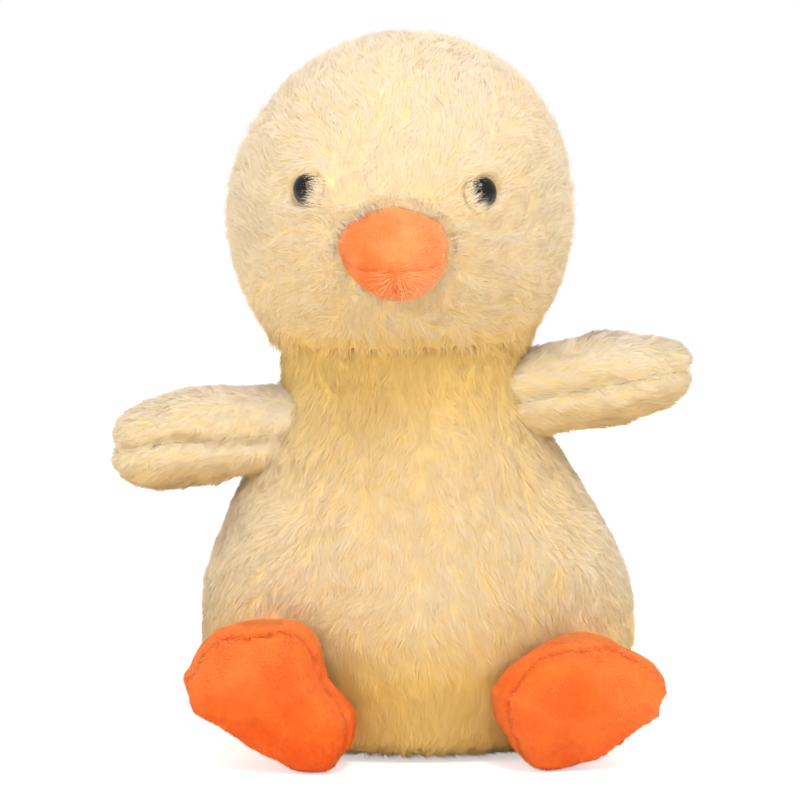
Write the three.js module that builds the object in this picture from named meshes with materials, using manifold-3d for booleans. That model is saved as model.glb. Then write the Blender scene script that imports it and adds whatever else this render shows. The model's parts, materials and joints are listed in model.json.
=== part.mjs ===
// Plush duck, sitting, made of sewn covers over fillings. Millimetres, +Z up.
// The duck faces -Y, so its left side is +X. The origin is the middle of the flat sitting face.
// A cover's outside is the surface that the pile reaches, and its thickness is backing and pile together.

import * as THREE from 'three';
import { mergeVertices } from 'three/addons/utils/BufferGeometryUtils.js';
import Module from 'manifold-3d';

const wasm = await Module();
wasm.setup();

// Driving sizes: body
const bodyHalfWidth = 82.2;
const bodyHalfDepth = 67;
const neckSeamHeight = 149;
const neckRadius = 48;
const neckLean = -5.5;
const sitDepth = 0.5;

// Driving sizes: head, whose ball reaches this far below the neck seam
const headHalfWidth = 66.3;
const headHalfDepth = 65;
const headHalfHeight = 69.8;
const headSinking = 20.7;
const headForward = 4;
const headSideways = -3.5;
const headRollDegrees = 1.9;
const headTurnDegrees = -2.6;
const pivotDrop = 25;

// Driving sizes: eyes
const eyeRadius = 6;
const eyeDome = 5.4;
const eyeShankRadius = 1.7;
const eyeShankLength = 9;
const eyeSinking = 3.8;
const eyeAzimuthDegrees = 31.2;
const eyeElevationDegrees = 8.4;
const washerRadius = 6.5;
const washerThickness = 1.4;

// Driving sizes: beak
const beakHalfWidth = 20;
const beakHalfHeight = 16.8;
const beakReach = 23;
const beakDroop = 7;
const beakElevationDegrees = -11.2;
const beakMouthDrop = 5.5;

// Driving sizes: wings, which hang from their roots this far below the neck seam
const wingLength = 59;
const wingHalfHeight = 19.6;
const wingHalfDepth = 24;
const wingRootSinking = 20;
const wingForward = 8;
const wingSeamPinch = 1.3;
const leftWingDrop = 18;
const leftWingTiltDegrees = 10;
const rightWingDrop = 32.2;
const rightWingTiltDegrees = -4.5;

// Driving sizes: feet
const footHalfLength = 31;
const footDome = 6.5;
const footThickness = 46;
const footStandOff = 31;
const leftFootSpread = 60.5;
const rightFootSpread = 56.5;
const footCentreHeight = 27;
const footYawDegrees = 17;
const footPitchDegrees = 12;
const ankleHeight = 12;

// Driving sizes: tail
const tailHalfWidth = 19;
const tailHalfThickness = 10;
const tailReach = 24;
const tailSinking = 14;
const tailHeight = 40;
const tailTiltDegrees = 28;

// Driving sizes: cloth, weight and clearance
const bodyWall = 7;
const headWall = 7;
const wingWall = 4.5;
const footWall = 3;
const beakWall = 2.6;
const tailWall = 4;
const neckOpeningRadius = 30;
const neckPlugDepth = 26;
const pouchHalfWidth = 44;
const pouchHalfDepth = 35;
const pouchHeight = 24;
const pouchWall = 1.5;
const pouchSlitRadius = 5;
const gap = 0.3;
const cheekClearance = 0.8;
const overrun = 20;

// How far each joint goes in degrees, in steps, which the cuts at the joints leave room for
const wingSweeps = { left: [-25, -12, 0, 8], right: [-15, -7, 0, 12, 25] };
const footSweep = [-6, 0, 6, 12, 18];
const headCorners = [[20, 12], [20, 5], [10, 12]];

// Pear outline from the seat up: height share, and the shares of belly and neck in its width
const bellyHeightShare = 0.31;
const bodyOutlineShares = [
  [0.000, 0.62, 0.00],
  [0.030, 0.76, 0.00],
  [0.075, 0.865, 0.00],
  [0.140, 0.945, 0.00],
  [0.220, 0.99, 0.00],
  [bellyHeightShare, 1.00, 0.00],
  [0.403, 0.974, 0.026],
  [0.477, 0.868, 0.132],
  [0.550, 0.722, 0.278],
  [0.631, 0.541, 0.459],
  [0.711, 0.351, 0.649],
  [0.792, 0.175, 0.825],
  [0.872, 0.056, 0.944],
  [0.940, 0.010, 0.990],
  [1.000, 0.000, 1.000],
];

// Wing outline: length share, height share and depth share
const wingOutlineShares = [
  [-0.24, 0.74, 0.76],
  [0.00, 0.865, 0.88],
  [0.24, 0.955, 0.96],
  [0.46, 1.00, 1.00],
  [0.63, 0.95, 0.94],
  [0.76, 0.865, 0.86],
  [0.86, 0.735, 0.73],
  [0.94, 0.54, 0.54],
  [0.985, 0.28, 0.30],
];

// Sole outlines seen from the front, as shares of the foot's half length
const leftSoleShares = [
  [1.00, 0.20], [0.86, 0.44], [0.54, 0.61], [0.18, 0.68], [-0.20, 0.66],
  [-0.57, 0.52], [-0.77, 0.18], [-0.90, -0.14], [-0.93, -0.52], [-0.72, -0.79],
  [-0.34, -0.87], [0.08, -0.78], [0.52, -0.49], [0.86, -0.11],
];
const rightSoleShares = [
  [-0.98, 0.18], [-0.86, 0.35], [-0.64, 0.53], [-0.42, 0.68], [0.00, 0.76],
  [0.33, 0.85], [0.60, 0.78], [0.73, 0.55], [0.84, 0.12], [1.00, -0.30],
  [0.96, -0.68], [0.68, -0.85], [0.20, -0.78], [-0.28, -0.52], [-0.74, -0.17],
];

// Foot profile: depth share (1 at the sole's crown, 0 at the seam, -1 at the ankle end) and outline share
const footProfileShares = [
  [0.96, 0.30],
  [0.80, 0.60],
  [0.45, 0.86],
  [0.00, 0.985],
  [-0.14, 1.04],
  [-0.34, 1.02],
  [-0.56, 0.90],
  [-0.76, 0.70],
  [-0.92, 0.42],
];
const ankleDriftShares = [-0.28, -0.30];

// Beak profile: reach share and outline share
const beakProfileShares = [
  [-0.70, 1.00],
  [-0.25, 1.02],
  [0.10, 0.99],
  [0.40, 0.90],
  [0.66, 0.74],
  [0.85, 0.52],
  [0.96, 0.28],
];

// Tail profile: reach share and outline share
const tailProfileShares = [
  [-0.55, 1.02],
  [0.00, 1.00],
  [0.40, 0.86],
  [0.72, 0.60],
  [0.92, 0.32],
];

// Pellet pouch profile: height share and outline share
const pouchProfileShares = [
  [0.04, 0.72],
  [0.20, 0.93],
  [0.45, 1.00],
  [0.72, 0.90],
  [0.92, 0.60],
];

// How finely each form is divided: the outside, and the lining that a filling meets
const outside = { body: 30, bodyRows: 15, head: 28, headRows: 15, wing: 16, foot: 24, beak: 20, tail: 16 };
const lining = { body: 20, bodyRows: 11, head: 18, headRows: 10, wing: 12, foot: 16, beak: 14, tail: 10 };
const capRows = 4;
const openingSides = 20;
const pouchSides = 14;
const eyeSides = 14;
const eyeRows = 5;

const radians = THREE.MathUtils.degToRad;
const point = (x, y, z) => new THREE.Vector3(x, y, z);

// Finishes
const finish = (color, roughness, metalness = 0) =>
  new THREE.MeshStandardMaterial({ color, roughness, metalness });
const plush = finish('#f6dfae', 0.95);
const orangePile = finish('#fb7a3c', 0.9);
const blackPlastic = finish('#14110f', 0.12);
const whitePlastic = finish('#e6e4df', 0.5);
const wadding = finish('#f5f3ee', 1);
const calico = finish('#e4dccb', 0.95);
const pelletPlastic = finish('#cfd3d6', 0.6);

// A closed skin over rings of points, between two poles
function skin(firstPole, rings, lastPole) {
  const sides = rings[0].length;
  const points = [firstPole, ...rings.flat(), lastPole];
  const last = points.length - 1;
  const at = (ring, side) => 1 + ring * sides + (side % sides);
  const faces = [];
  for (let side = 0; side < sides; side++) {
    faces.push(0, at(0, side + 1), at(0, side));
    for (let ring = 0; ring < rings.length - 1; ring++) {
      faces.push(at(ring, side), at(ring, side + 1), at(ring + 1, side + 1));
      faces.push(at(ring, side), at(ring + 1, side + 1), at(ring + 1, side));
    }
    faces.push(last, at(rings.length - 1, side), at(rings.length - 1, side + 1));
  }
  const geometry = new THREE.BufferGeometry();
  const coordinates = points.flatMap((corner) => corner.toArray());
  geometry.setAttribute('position', new THREE.Float32BufferAttribute(coordinates, 3));
  geometry.setIndex(faces);
  return geometry;
}

// Volume of a closed skin, negative where its faces point in
function signedVolume(geometry) {
  const position = geometry.getAttribute('position');
  const index = geometry.getIndex();
  const corners = [point(0, 0, 0), point(0, 0, 0), point(0, 0, 0)];
  let volume = 0;
  for (let i = 0; i < index.count; i += corners.length) {
    corners.forEach((corner, k) => corner.fromBufferAttribute(position, index.getX(i + k)));
    volume += corners[0].dot(corners[1].clone().cross(corners[2]));
  }
  return volume;
}

// A boolean solid from a closed skin, turned right way out, in the frame that the matrix gives
function solid(geometry, matrix = new THREE.Matrix4()) {
  const bare = new THREE.BufferGeometry();
  bare.setAttribute('position', geometry.getAttribute('position').clone());
  bare.setIndex(geometry.getIndex() ? geometry.getIndex().clone() : null);
  const merged = mergeVertices(bare.applyMatrix4(matrix));
  const triVerts = Uint32Array.from(merged.getIndex().array);
  if (signedVolume(merged) < 0) {
    triVerts.reverse();
  }
  const vertProperties = Float32Array.from(merged.getAttribute('position').array);
  return new wasm.Manifold(new wasm.Mesh({ numProp: 3, vertProperties, triVerts }));
}

// The parts of a solid that hold more than a sliver
const sliverVolume = gap ** 3;
function withoutSlivers(whole) {
  const parts = whole.decompose().filter((part) => part.volume() > sliverVolume);
  return parts.reduce((sum, part) => sum.add(part));
}

function piece(name, shape, material) {
  const mesh = withoutSlivers(shape).getMesh();
  const geometry = new THREE.BufferGeometry();
  geometry.setAttribute('position', new THREE.BufferAttribute(mesh.vertProperties.slice(), 3));
  geometry.setIndex(new THREE.BufferAttribute(mesh.triVerts.slice(), 1));
  geometry.computeVertexNormals();
  const result = new THREE.Mesh(geometry, material);
  result.name = name;
  return result;
}

function box(low, high, matrix) {
  const size = high.clone().sub(low);
  const middle = low.clone().add(high).divideScalar(2);
  return solid(new THREE.BoxGeometry(...size.toArray()).translate(...middle.toArray()), matrix);
}

// A smooth open outline through the rows of a table, at evenly spread steps
function smoothRows(rows, steps) {
  const curve = new THREE.CatmullRomCurve3(rows.map((row) => point(...row)), false, 'centripetal');
  return Array.from({ length: steps }, (_, i) => curve.getPoint(i / (steps - 1)).toArray());
}

// A smooth closed outline through a table of corners
function smoothLoop(corners, sides) {
  const curve = new THREE.CatmullRomCurve3(corners.map(([u, v]) => point(u, v, 0)), true, 'centripetal');
  return Array.from({ length: sides }, (_, i) => curve.getPoint(i / sides));
}

// Body
const pivotHeight = neckSeamHeight - pivotDrop;
const neckPivot = point(neckLean, 0, pivotHeight);
const ballRadius = Math.hypot(neckRadius, pivotDrop);

// Sideways lean of the body's middle line, which starts at the belly
function leanAt(height) {
  return neckLean * THREE.MathUtils.smoothstep(height, bellyHeightShare * neckSeamHeight, neckSeamHeight);
}

function bodyRow(row) {
  const [heightShare, bellyShare, neckShare] = row;
  return {
    height: heightShare * (neckSeamHeight + sitDepth) - sitDepth,
    halfWidth: bellyShare * bodyHalfWidth + neckShare * neckRadius,
    halfDepth: bellyShare * bodyHalfDepth + neckShare * neckRadius,
  };
}

// Half sizes of the pear at a height
function bodyAt(height) {
  const rows = bodyOutlineShares.map(bodyRow);
  const above = Math.max(1, rows.findIndex((row) => row.height >= height));
  const [low, high] = [rows[above - 1], rows[above]];
  const share = (height - low.height) / (high.height - low.height);
  return {
    halfWidth: THREE.MathUtils.lerp(low.halfWidth, high.halfWidth, share),
    halfDepth: THREE.MathUtils.lerp(low.halfDepth, high.halfDepth, share),
  };
}

// The pear with its ball shaped top, grown by an offset along its normals
function bodyForm(offset, detail = outside) {
  const rows = smoothRows(bodyOutlineShares, detail.bodyRows).map(bodyRow);
  const ringAt = (halfWidth, halfDepth, height) => Array.from({ length: detail.body }, (_, side) => {
    const angle = (2 * Math.PI * side) / detail.body;
    return point(leanAt(height) + halfWidth * Math.cos(angle), halfDepth * Math.sin(angle), height);
  });
  const rings = rows.slice(0, -1).map((row, i) => {
    const before = rows[Math.max(0, i - 1)];
    const after = rows[i + 1];
    const run = point(after.halfWidth - before.halfWidth, 0, after.height - before.height).normalize();
    const out = i === 0 ? point(Math.SQRT1_2, 0, -Math.SQRT1_2) : point(run.z, 0, -run.x);
    const wider = offset * out.x;
    return ringAt(row.halfWidth + wider, row.halfDepth + wider, row.height + offset * out.z);
  });
  const seamAngle = Math.atan2(neckRadius, pivotDrop);
  for (let ring = 0; ring < capRows; ring++) {
    const angle = seamAngle * (1 - ring / capRows);
    const radius = (ballRadius + offset) * Math.sin(angle);
    rings.push(ringAt(radius, radius, pivotHeight + (ballRadius + offset) * Math.cos(angle)));
  }
  const top = point(neckLean, 0, pivotHeight + ballRadius + offset);
  return skin(point(0, 0, -sitDepth - offset), rings, top);
}

// What the ball at the top of the neck takes from the head: its flats lie outside the true ball
function neckBall(offset) {
  const flatness = Math.cos(Math.PI / outside.body) * Math.cos(Math.PI / (2 * outside.bodyRows));
  return new THREE.SphereGeometry((ballRadius + offset) / flatness, outside.body, outside.bodyRows)
    .rotateX(Math.PI / 2);
}

// A faceted cutter is this much wider, so that its flats clear a round piece that turns in it
const cutterFlatness = Math.cos(Math.PI / openingSides);

// The wad in the neck opening: a ball faced plug that tapers down into the body's filling.
// With an offset it is the cutter for its seat, which runs on past the top of the neck.
function neckPlug(offset) {
  const radius = (neckOpeningRadius - gap + offset) / (offset > 0 ? cutterFlatness : 1);
  const lift = offset > 0 ? overrun : 0;
  const rimAngle = Math.asin(radius / ballRadius);
  const outline = [new THREE.Vector2(0, ballRadius - neckPlugDepth - offset)];
  outline.push(new THREE.Vector2(radius / 2, ballRadius - neckPlugDepth - offset));
  outline.push(new THREE.Vector2(radius, ballRadius - neckPlugDepth / 2));
  for (let ring = 0; ring < capRows; ring++) {
    const angle = rimAngle * (1 - ring / capRows);
    outline.push(new THREE.Vector2(ballRadius * Math.sin(angle), ballRadius * Math.cos(angle) + lift));
  }
  outline.push(new THREE.Vector2(0, ballRadius + lift));
  return new THREE.LatheGeometry(outline, openingSides).rotateX(Math.PI / 2);
}

const pouchBottom = bodyWall + gap - sitDepth;
function pouchForm(offset) {
  const rings = pouchProfileShares.map(([heightShare, outlineShare]) =>
    Array.from({ length: pouchSides }, (_, side) => {
      const angle = (2 * Math.PI * side) / pouchSides;
      const height = pouchBottom - offset + heightShare * (pouchHeight + 2 * offset);
      return point(
        (pouchHalfWidth * outlineShare + offset) * Math.cos(angle),
        (pouchHalfDepth * outlineShare + offset) * Math.sin(angle),
        height,
      );
    }));
  const [low, high] = [pouchBottom - offset, pouchBottom + pouchHeight + offset];
  return skin(point(0, 0, low), rings, point(0, 0, high));
}

// An upright round cutter
function post(radius, bottom, top) {
  const outer = radius / cutterFlatness;
  return new THREE.CylinderGeometry(outer, outer, top - bottom, openingSides)
    .rotateX(Math.PI / 2)
    .translate(0, 0, (top + bottom) / 2);
}

function makeBody() {
  const atPivot = new THREE.Matrix4().makeTranslation(neckPivot);
  const reach = bodyHalfWidth + overrun;
  const belowSeat = box(point(-reach, -reach, -overrun), point(reach, reach, 0));
  const opening = solid(post(neckOpeningRadius, 0, ballRadius + overrun), atPivot);
  const cover = solid(bodyForm(0))
    .subtract(solid(bodyForm(-bodyWall, lining)))
    .subtract(opening)
    .subtract(belowSeat);
  const pouchTop = pouchBottom + pouchHeight;
  const slit = solid(post(pouchSlitRadius, pouchTop - pouchHeight / 2, pouchTop + overrun));
  const pouch = solid(pouchForm(0)).subtract(solid(pouchForm(-pouchWall))).subtract(slit);
  const pellets = solid(pouchForm(-pouchWall - gap));
  const filling = solid(bodyForm(-bodyWall - gap, lining))
    .subtract(solid(pouchForm(gap)))
    .subtract(solid(neckPlug(gap), atPivot));
  const group = new THREE.Group();
  group.add(piece('body_cover', cover, plush));
  group.add(piece('body_filling', filling, wadding));
  group.add(piece('pellet_pouch', pouch, calico));
  group.add(piece('pellets', pellets, pelletPlastic));
  return group;
}

function makeNeck() {
  const group = new THREE.Group();
  group.position.copy(neckPivot);
  group.add(piece('neck_filling', solid(neckPlug(0)), wadding));
  return group;
}

// Head, in a frame at the neck pivot
const headAtRest = new THREE.Matrix4()
  .makeRotationFromEuler(new THREE.Euler(0, radians(headRollDegrees), radians(headTurnDegrees)));
const headRise = headHalfHeight - headSinking;
const headCentre = point(headSideways, -headForward, pivotDrop + headRise);

function headForm(offset, detail = outside) {
  return new THREE.SphereGeometry(1, detail.head, detail.headRows)
    .rotateX(Math.PI / 2)
    .scale(headHalfWidth + offset, headHalfDepth + offset, headHalfHeight + offset)
    .translate(...headCentre.toArray());
}

// A frame on the head's surface with +Z pointing out of it
function headFrame(azimuthDegrees, elevationDegrees) {
  const azimuth = radians(azimuthDegrees);
  const elevation = radians(elevationDegrees);
  const ray = point(
    Math.sin(azimuth) * Math.cos(elevation),
    -Math.cos(azimuth) * Math.cos(elevation),
    Math.sin(elevation),
  );
  const halfSizes = point(headHalfWidth, headHalfDepth, headHalfHeight);
  const reach = 1 / ray.clone().divide(halfSizes).length();
  const place = ray.clone().multiplyScalar(reach);
  const normal = place.clone().divide(halfSizes.clone().multiply(halfSizes)).normalize();
  const frame = new THREE.Matrix4().lookAt(normal, point(0, 0, 0), point(0, 0, 1));
  return frame.setPosition(place.add(headCentre));
}

// Eye along +Z: the dome, its flat back and the shank that goes through the backing
function eyeForm() {
  const outline = [new THREE.Vector2(0, -eyeSinking - eyeShankLength)];
  outline.push(new THREE.Vector2(eyeShankRadius, -eyeSinking - eyeShankLength));
  outline.push(new THREE.Vector2(eyeShankRadius, -eyeSinking));
  for (let row = 0; row < eyeRows; row++) {
    const angle = (Math.PI / 2) * (row / eyeRows);
    outline.push(new THREE.Vector2(eyeRadius * Math.cos(angle), eyeDome * Math.sin(angle) - eyeSinking));
  }
  outline.push(new THREE.Vector2(0, eyeDome - eyeSinking));
  return new THREE.LatheGeometry(outline, eyeSides).rotateX(Math.PI / 2);
}

// The well in the pile that the eye sits in, and the hole for its shank
function eyeWell() {
  const outline = [new THREE.Vector2(0, -headWall - overrun)];
  outline.push(new THREE.Vector2(eyeShankRadius + gap, -headWall - overrun));
  outline.push(new THREE.Vector2(eyeShankRadius + gap, -eyeSinking - gap));
  outline.push(new THREE.Vector2(eyeRadius + gap, -eyeSinking - gap));
  outline.push(new THREE.Vector2(eyeRadius + gap, overrun));
  outline.push(new THREE.Vector2(0, overrun));
  return new THREE.LatheGeometry(outline, eyeSides).rotateX(Math.PI / 2);
}

// The lock washer on the shank: its rim meets the curved, faceted inside of the backing
const washerRise = (washerRadius + gap) ** 2 / (2 * (headHalfDepth - headWall));
const headFlatness = Math.cos(Math.PI / lining.head) * Math.cos(Math.PI / (2 * lining.headRows));
const washerSeat = headWall + gap + washerRise + headHalfHeight * (1 - headFlatness);
function washerForm(offset, boreRadius) {
  const outline = [
    new THREE.Vector2(boreRadius, -washerSeat + offset),
    new THREE.Vector2(washerRadius + offset, -washerSeat + offset),
    new THREE.Vector2(washerRadius + offset, -washerSeat - washerThickness - offset),
    new THREE.Vector2(boreRadius, -washerSeat - washerThickness - offset),
  ];
  outline.push(outline[0].clone());
  return new THREE.LatheGeometry(outline.reverse(), eyeSides).rotateX(Math.PI / 2);
}

// Beak in its frame on the head: it comes out along +Z and droops along -Y
const beakFrame = headFrame(0, beakElevationDegrees);

function beakForm(offset, detail = outside) {
  const ringAt = (reachShare, outlineShare) => Array.from({ length: detail.beak }, (_, side) => {
    const angle = (2 * Math.PI * side) / detail.beak;
    const droop = beakDroop * Math.max(0, reachShare) ** 2;
    return point(
      (beakHalfWidth * outlineShare + offset) * Math.cos(angle),
      (beakHalfHeight * outlineShare + offset) * Math.sin(angle) - droop,
      reachShare * (beakReach + offset),
    );
  });
  const rings = beakProfileShares.map(([reachShare, outlineShare]) => ringAt(reachShare, outlineShare));
  const back = beakProfileShares[0][0] * (beakReach + offset);
  return skin(point(0, 0, back), rings, point(0, -beakDroop, beakReach + offset));
}

function makeHead() {
  const ball = solid(neckBall(gap));
  const room = solid(headForm(-headWall, lining));
  const shell = solid(headForm(0));
  let cover = shell.subtract(room).subtract(ball);
  let filling = solid(headForm(-headWall - gap, lining)).subtract(ball);
  const group = new THREE.Group();
  group.applyMatrix4(headAtRest);
  group.position.copy(neckPivot);
  for (const [side, sign] of [['left', 1], ['right', -1]]) {
    const frame = headFrame(sign * eyeAzimuthDegrees, eyeElevationDegrees);
    const well = solid(eyeWell(), frame);
    cover = cover.subtract(well);
    filling = filling.subtract(well).subtract(solid(washerForm(gap, 0), frame));
    group.add(piece(`eye_${side}`, solid(eyeForm(), frame), blackPlastic));
    const washer = solid(washerForm(0, eyeShankRadius + gap), frame);
    group.add(piece(`eye_washer_${side}`, washer, whitePlastic));
  }
  group.add(piece('head_cover', cover, plush));
  group.add(piece('head_filling', filling, wadding));

  const face = solid(headForm(gap));
  const beakShell = solid(beakForm(0), beakFrame)
    .subtract(solid(beakForm(-beakWall, lining), beakFrame))
    .subtract(face);
  const beakStuffing = solid(beakForm(-beakWall - gap, lining), beakFrame).subtract(face);
  const reach = beakHalfWidth + beakReach + overrun;
  const mouthTop = point(-reach, gap / 2 - beakMouthDrop, -reach);
  const mouthBottom = point(reach, -gap / 2 - beakMouthDrop, reach);
  const aboveMouth = box(mouthTop, point(reach, reach, reach), beakFrame);
  const belowMouth = box(point(-reach, -reach, -reach), mouthBottom, beakFrame);
  group.add(piece('beak_upper_panel', beakShell.intersect(aboveMouth), orangePile));
  group.add(piece('beak_lower_panel', beakShell.intersect(belowMouth), orangePile));
  group.add(piece('beak_filling', beakStuffing, wadding));
  return group;
}

// From the object's frame to a limb's frame, once the limb has turned about its hinge
function toTurnedLimb(frame, hinge, axis, degrees) {
  return frame.clone().invert()
    .multiply(new THREE.Matrix4().makeTranslation(hinge))
    .multiply(new THREE.Matrix4().makeRotationAxis(axis, -radians(degrees)))
    .multiply(new THREE.Matrix4().makeTranslation(hinge.clone().negate()));
}

// The body where a limb meets it, in the limb's frame, at each angle of the limb's joint
function bodyAgainst(frame, hinge, axis, sweepDegrees) {
  return sweepDegrees.map((degrees) => solid(bodyForm(gap), toTurnedLimb(frame, hinge, axis, degrees)));
}

// The cheek where a raised wing meets it, with the head turned and nodded towards that wing
function headAgainst(frame, hinge, axis, sweepDegrees, sign) {
  return sweepDegrees.flatMap((degrees) => headCorners.map(([turn, nod]) => {
    const head = toTurnedLimb(frame, hinge, axis, degrees)
      .multiply(new THREE.Matrix4().makeTranslation(neckPivot))
      .multiply(new THREE.Matrix4().makeRotationZ(sign * radians(turn)))
      .multiply(new THREE.Matrix4().makeRotationX(radians(nod)))
      .multiply(headAtRest);
    return solid(headForm(cheekClearance), head);
  }));
}

// Wing in a frame at its hinge: it reaches out along +X, and its two panels meet at the level Z = 0
function wingForm(offset, detail = outside) {
  const rings = wingOutlineShares.map(([lengthShare, heightShare, depthShare]) =>
    Array.from({ length: detail.wing }, (_, side) => {
      const angle = (2 * Math.PI * side) / detail.wing;
      const atSeam = side % (detail.wing / 2) === 0;
      const halfDepth = depthShare * wingHalfDepth + offset - (atSeam ? wingSeamPinch : 0);
      const halfHeight = heightShare * wingHalfHeight + offset;
      const along = lengthShare * (wingLength + offset);
      return point(along, halfDepth * Math.cos(angle), halfHeight * Math.sin(angle));
    }));
  const tip = wingLength + offset - wingSeamPinch;
  return skin(point(-wingRootSinking - offset, 0, 0), rings, point(tip, 0, 0));
}

function makeWing(side, sign, drop, tiltDegrees) {
  const height = neckSeamHeight - drop;
  const root = bodyAt(height);
  const slant = Math.sqrt(1 - (wingForward / root.halfDepth) ** 2);
  const hinge = point(leanAt(height) + sign * root.halfWidth * slant, -wingForward, height);
  const frame = new THREE.Matrix4().makeRotationY(-sign * radians(tiltDegrees)).setPosition(hinge);
  const mirror = new THREE.Matrix4().makeScale(sign, 1, 1);
  let shell = solid(wingForm(0), mirror).subtract(solid(wingForm(-wingWall, lining), mirror));
  let filling = solid(wingForm(-wingWall - gap, lining), mirror);
  const axis = point(0, -sign, 0);
  const larger = [
    ...bodyAgainst(frame, hinge, axis, wingSweeps[side]),
    ...headAgainst(frame, hinge, axis, wingSweeps[side].slice(-2), sign),
  ];
  for (const form of larger) {
    shell = shell.subtract(form);
    filling = filling.subtract(form);
  }
  const reach = wingLength + overrun;
  const upper = box(point(-reach, -reach, gap / 2), point(reach, reach, reach));
  const lower = box(point(-reach, -reach, -reach), point(reach, reach, -gap / 2));
  const group = new THREE.Group();
  group.applyMatrix4(frame);
  group.add(piece(`wing_${side}_upper_panel`, shell.intersect(upper), plush));
  group.add(piece(`wing_${side}_lower_panel`, shell.intersect(lower), plush));
  group.add(piece(`wing_${side}_filling`, filling, wadding));
  return group;
}

// Foot in a frame at the middle of its sole seam: the sole looks along -Y
function footForm(soleShares, sign, offset, detail = outside) {
  const loop = smoothLoop(soleShares, detail.foot);
  const drift = (depthShare) => {
    const bend = footHalfLength * Math.min(0, depthShare) ** 2;
    return ankleDriftShares.map((share) => share * bend);
  };
  const depthAt = (depthShare) => depthShare * ((depthShare > 0 ? footDome : footThickness) + offset);
  const rings = footProfileShares.map(([depthShare, outlineShare]) => {
    const [driftX, driftZ] = drift(depthShare);
    return loop.map((corner) => {
      const radius = corner.length() * footHalfLength * outlineShare + offset;
      const aim = corner.clone().normalize().multiplyScalar(radius);
      return point(aim.x + sign * driftX, -depthAt(depthShare), aim.y + driftZ);
    });
  });
  const [driftX, driftZ] = drift(-1);
  return skin(point(0, -depthAt(1), 0), rings, point(sign * driftX, -depthAt(-1), driftZ));
}

function makeFoot(side, sign, spread, soleShares) {
  const body = bodyAt(footCentreHeight);
  const surface = body.halfDepth * Math.sqrt(1 - (spread / body.halfWidth) ** 2);
  const middle = point(sign * spread, -surface - footStandOff, footCentreHeight);
  const ankle = point(middle.x, -surface, ankleHeight);
  const turn = new THREE.Euler(radians(footPitchDegrees), 0, sign * radians(footYawDegrees), 'ZXY');
  const frame = new THREE.Matrix4().makeRotationFromEuler(turn).setPosition(middle);
  const room = solid(footForm(soleShares, sign, -footWall, lining));
  let shell = solid(footForm(soleShares, sign, 0)).subtract(room);
  let filling = solid(footForm(soleShares, sign, -footWall - gap, lining));
  for (const bodyTurned of bodyAgainst(frame, ankle, point(1, 0, 0), footSweep)) {
    shell = shell.subtract(bodyTurned);
    filling = filling.subtract(bodyTurned);
  }
  const reach = footHalfLength + footThickness + overrun;
  const front = box(point(-reach, -reach, -reach), point(reach, -gap / 2, reach));
  const back = box(point(-reach, gap / 2, -reach), point(reach, reach, reach));
  const group = new THREE.Group();
  group.applyMatrix4(frame);
  group.add(piece(`foot_${side}_sole`, shell.intersect(front), orangePile));
  group.add(piece(`foot_${side}_upper`, shell.intersect(back), orangePile));
  group.add(piece(`foot_${side}_filling`, filling, wadding));
  return group;
}

// Tail in a frame on the back of the body: it points along +Y
function tailForm(offset, detail = outside) {
  const rings = tailProfileShares.map(([reachShare, outlineShare]) =>
    Array.from({ length: detail.tail }, (_, side) => {
      const angle = (2 * Math.PI * side) / detail.tail;
      const halfWidth = tailHalfWidth * outlineShare + offset;
      const halfThickness = tailHalfThickness * Math.sqrt(outlineShare) + offset;
      const along = reachShare * (tailReach + offset);
      return point(halfWidth * Math.cos(angle), along, halfThickness * Math.sin(angle));
    }));
  return skin(point(0, -tailSinking - offset, 0), rings, point(0, tailReach + offset, 0));
}

function makeTail() {
  const seat = point(0, bodyAt(tailHeight).halfDepth, tailHeight);
  const frame = new THREE.Matrix4().makeRotationX(radians(tailTiltDegrees)).setPosition(seat);
  const body = bodyAgainst(frame, seat, point(1, 0, 0), [0])[0];
  const cover = solid(tailForm(0)).subtract(solid(tailForm(-tailWall, lining))).subtract(body);
  const filling = solid(tailForm(-tailWall - gap, lining)).subtract(body);
  const group = new THREE.Group();
  group.applyMatrix4(frame);
  group.add(piece('tail_cover', cover, plush));
  group.add(piece('tail_filling', filling, wadding));
  return group;
}

const duck = new THREE.Group();
duck.add(makeBody());
duck.add(makeTail());
duck.add(makeNeck());
duck.add(makeHead());
duck.add(makeWing('left', 1, leftWingDrop, leftWingTiltDegrees));
duck.add(makeWing('right', -1, rightWingDrop, rightWingTiltDegrees));
duck.add(makeFoot('left', 1, leftFootSpread, leftSoleShares));
duck.add(makeFoot('right', -1, rightFootSpread, rightSoleShares));

export default duck;
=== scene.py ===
"""Plush duck: covers with their pile, stuffing, eyes and weight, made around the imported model.

The duck faces -Y and sits on Z = 0, so its left side is +X. Lengths are metres unless a name says otherwise.
"""

import json
import math

import bpy
import numpy as np
from bpy.props import FloatProperty, FloatVectorProperty, PointerProperty
from mathutils import Matrix, Vector
from mathutils.bvhtree import BVHTree
from mathutils.kdtree import KDTree

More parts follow.
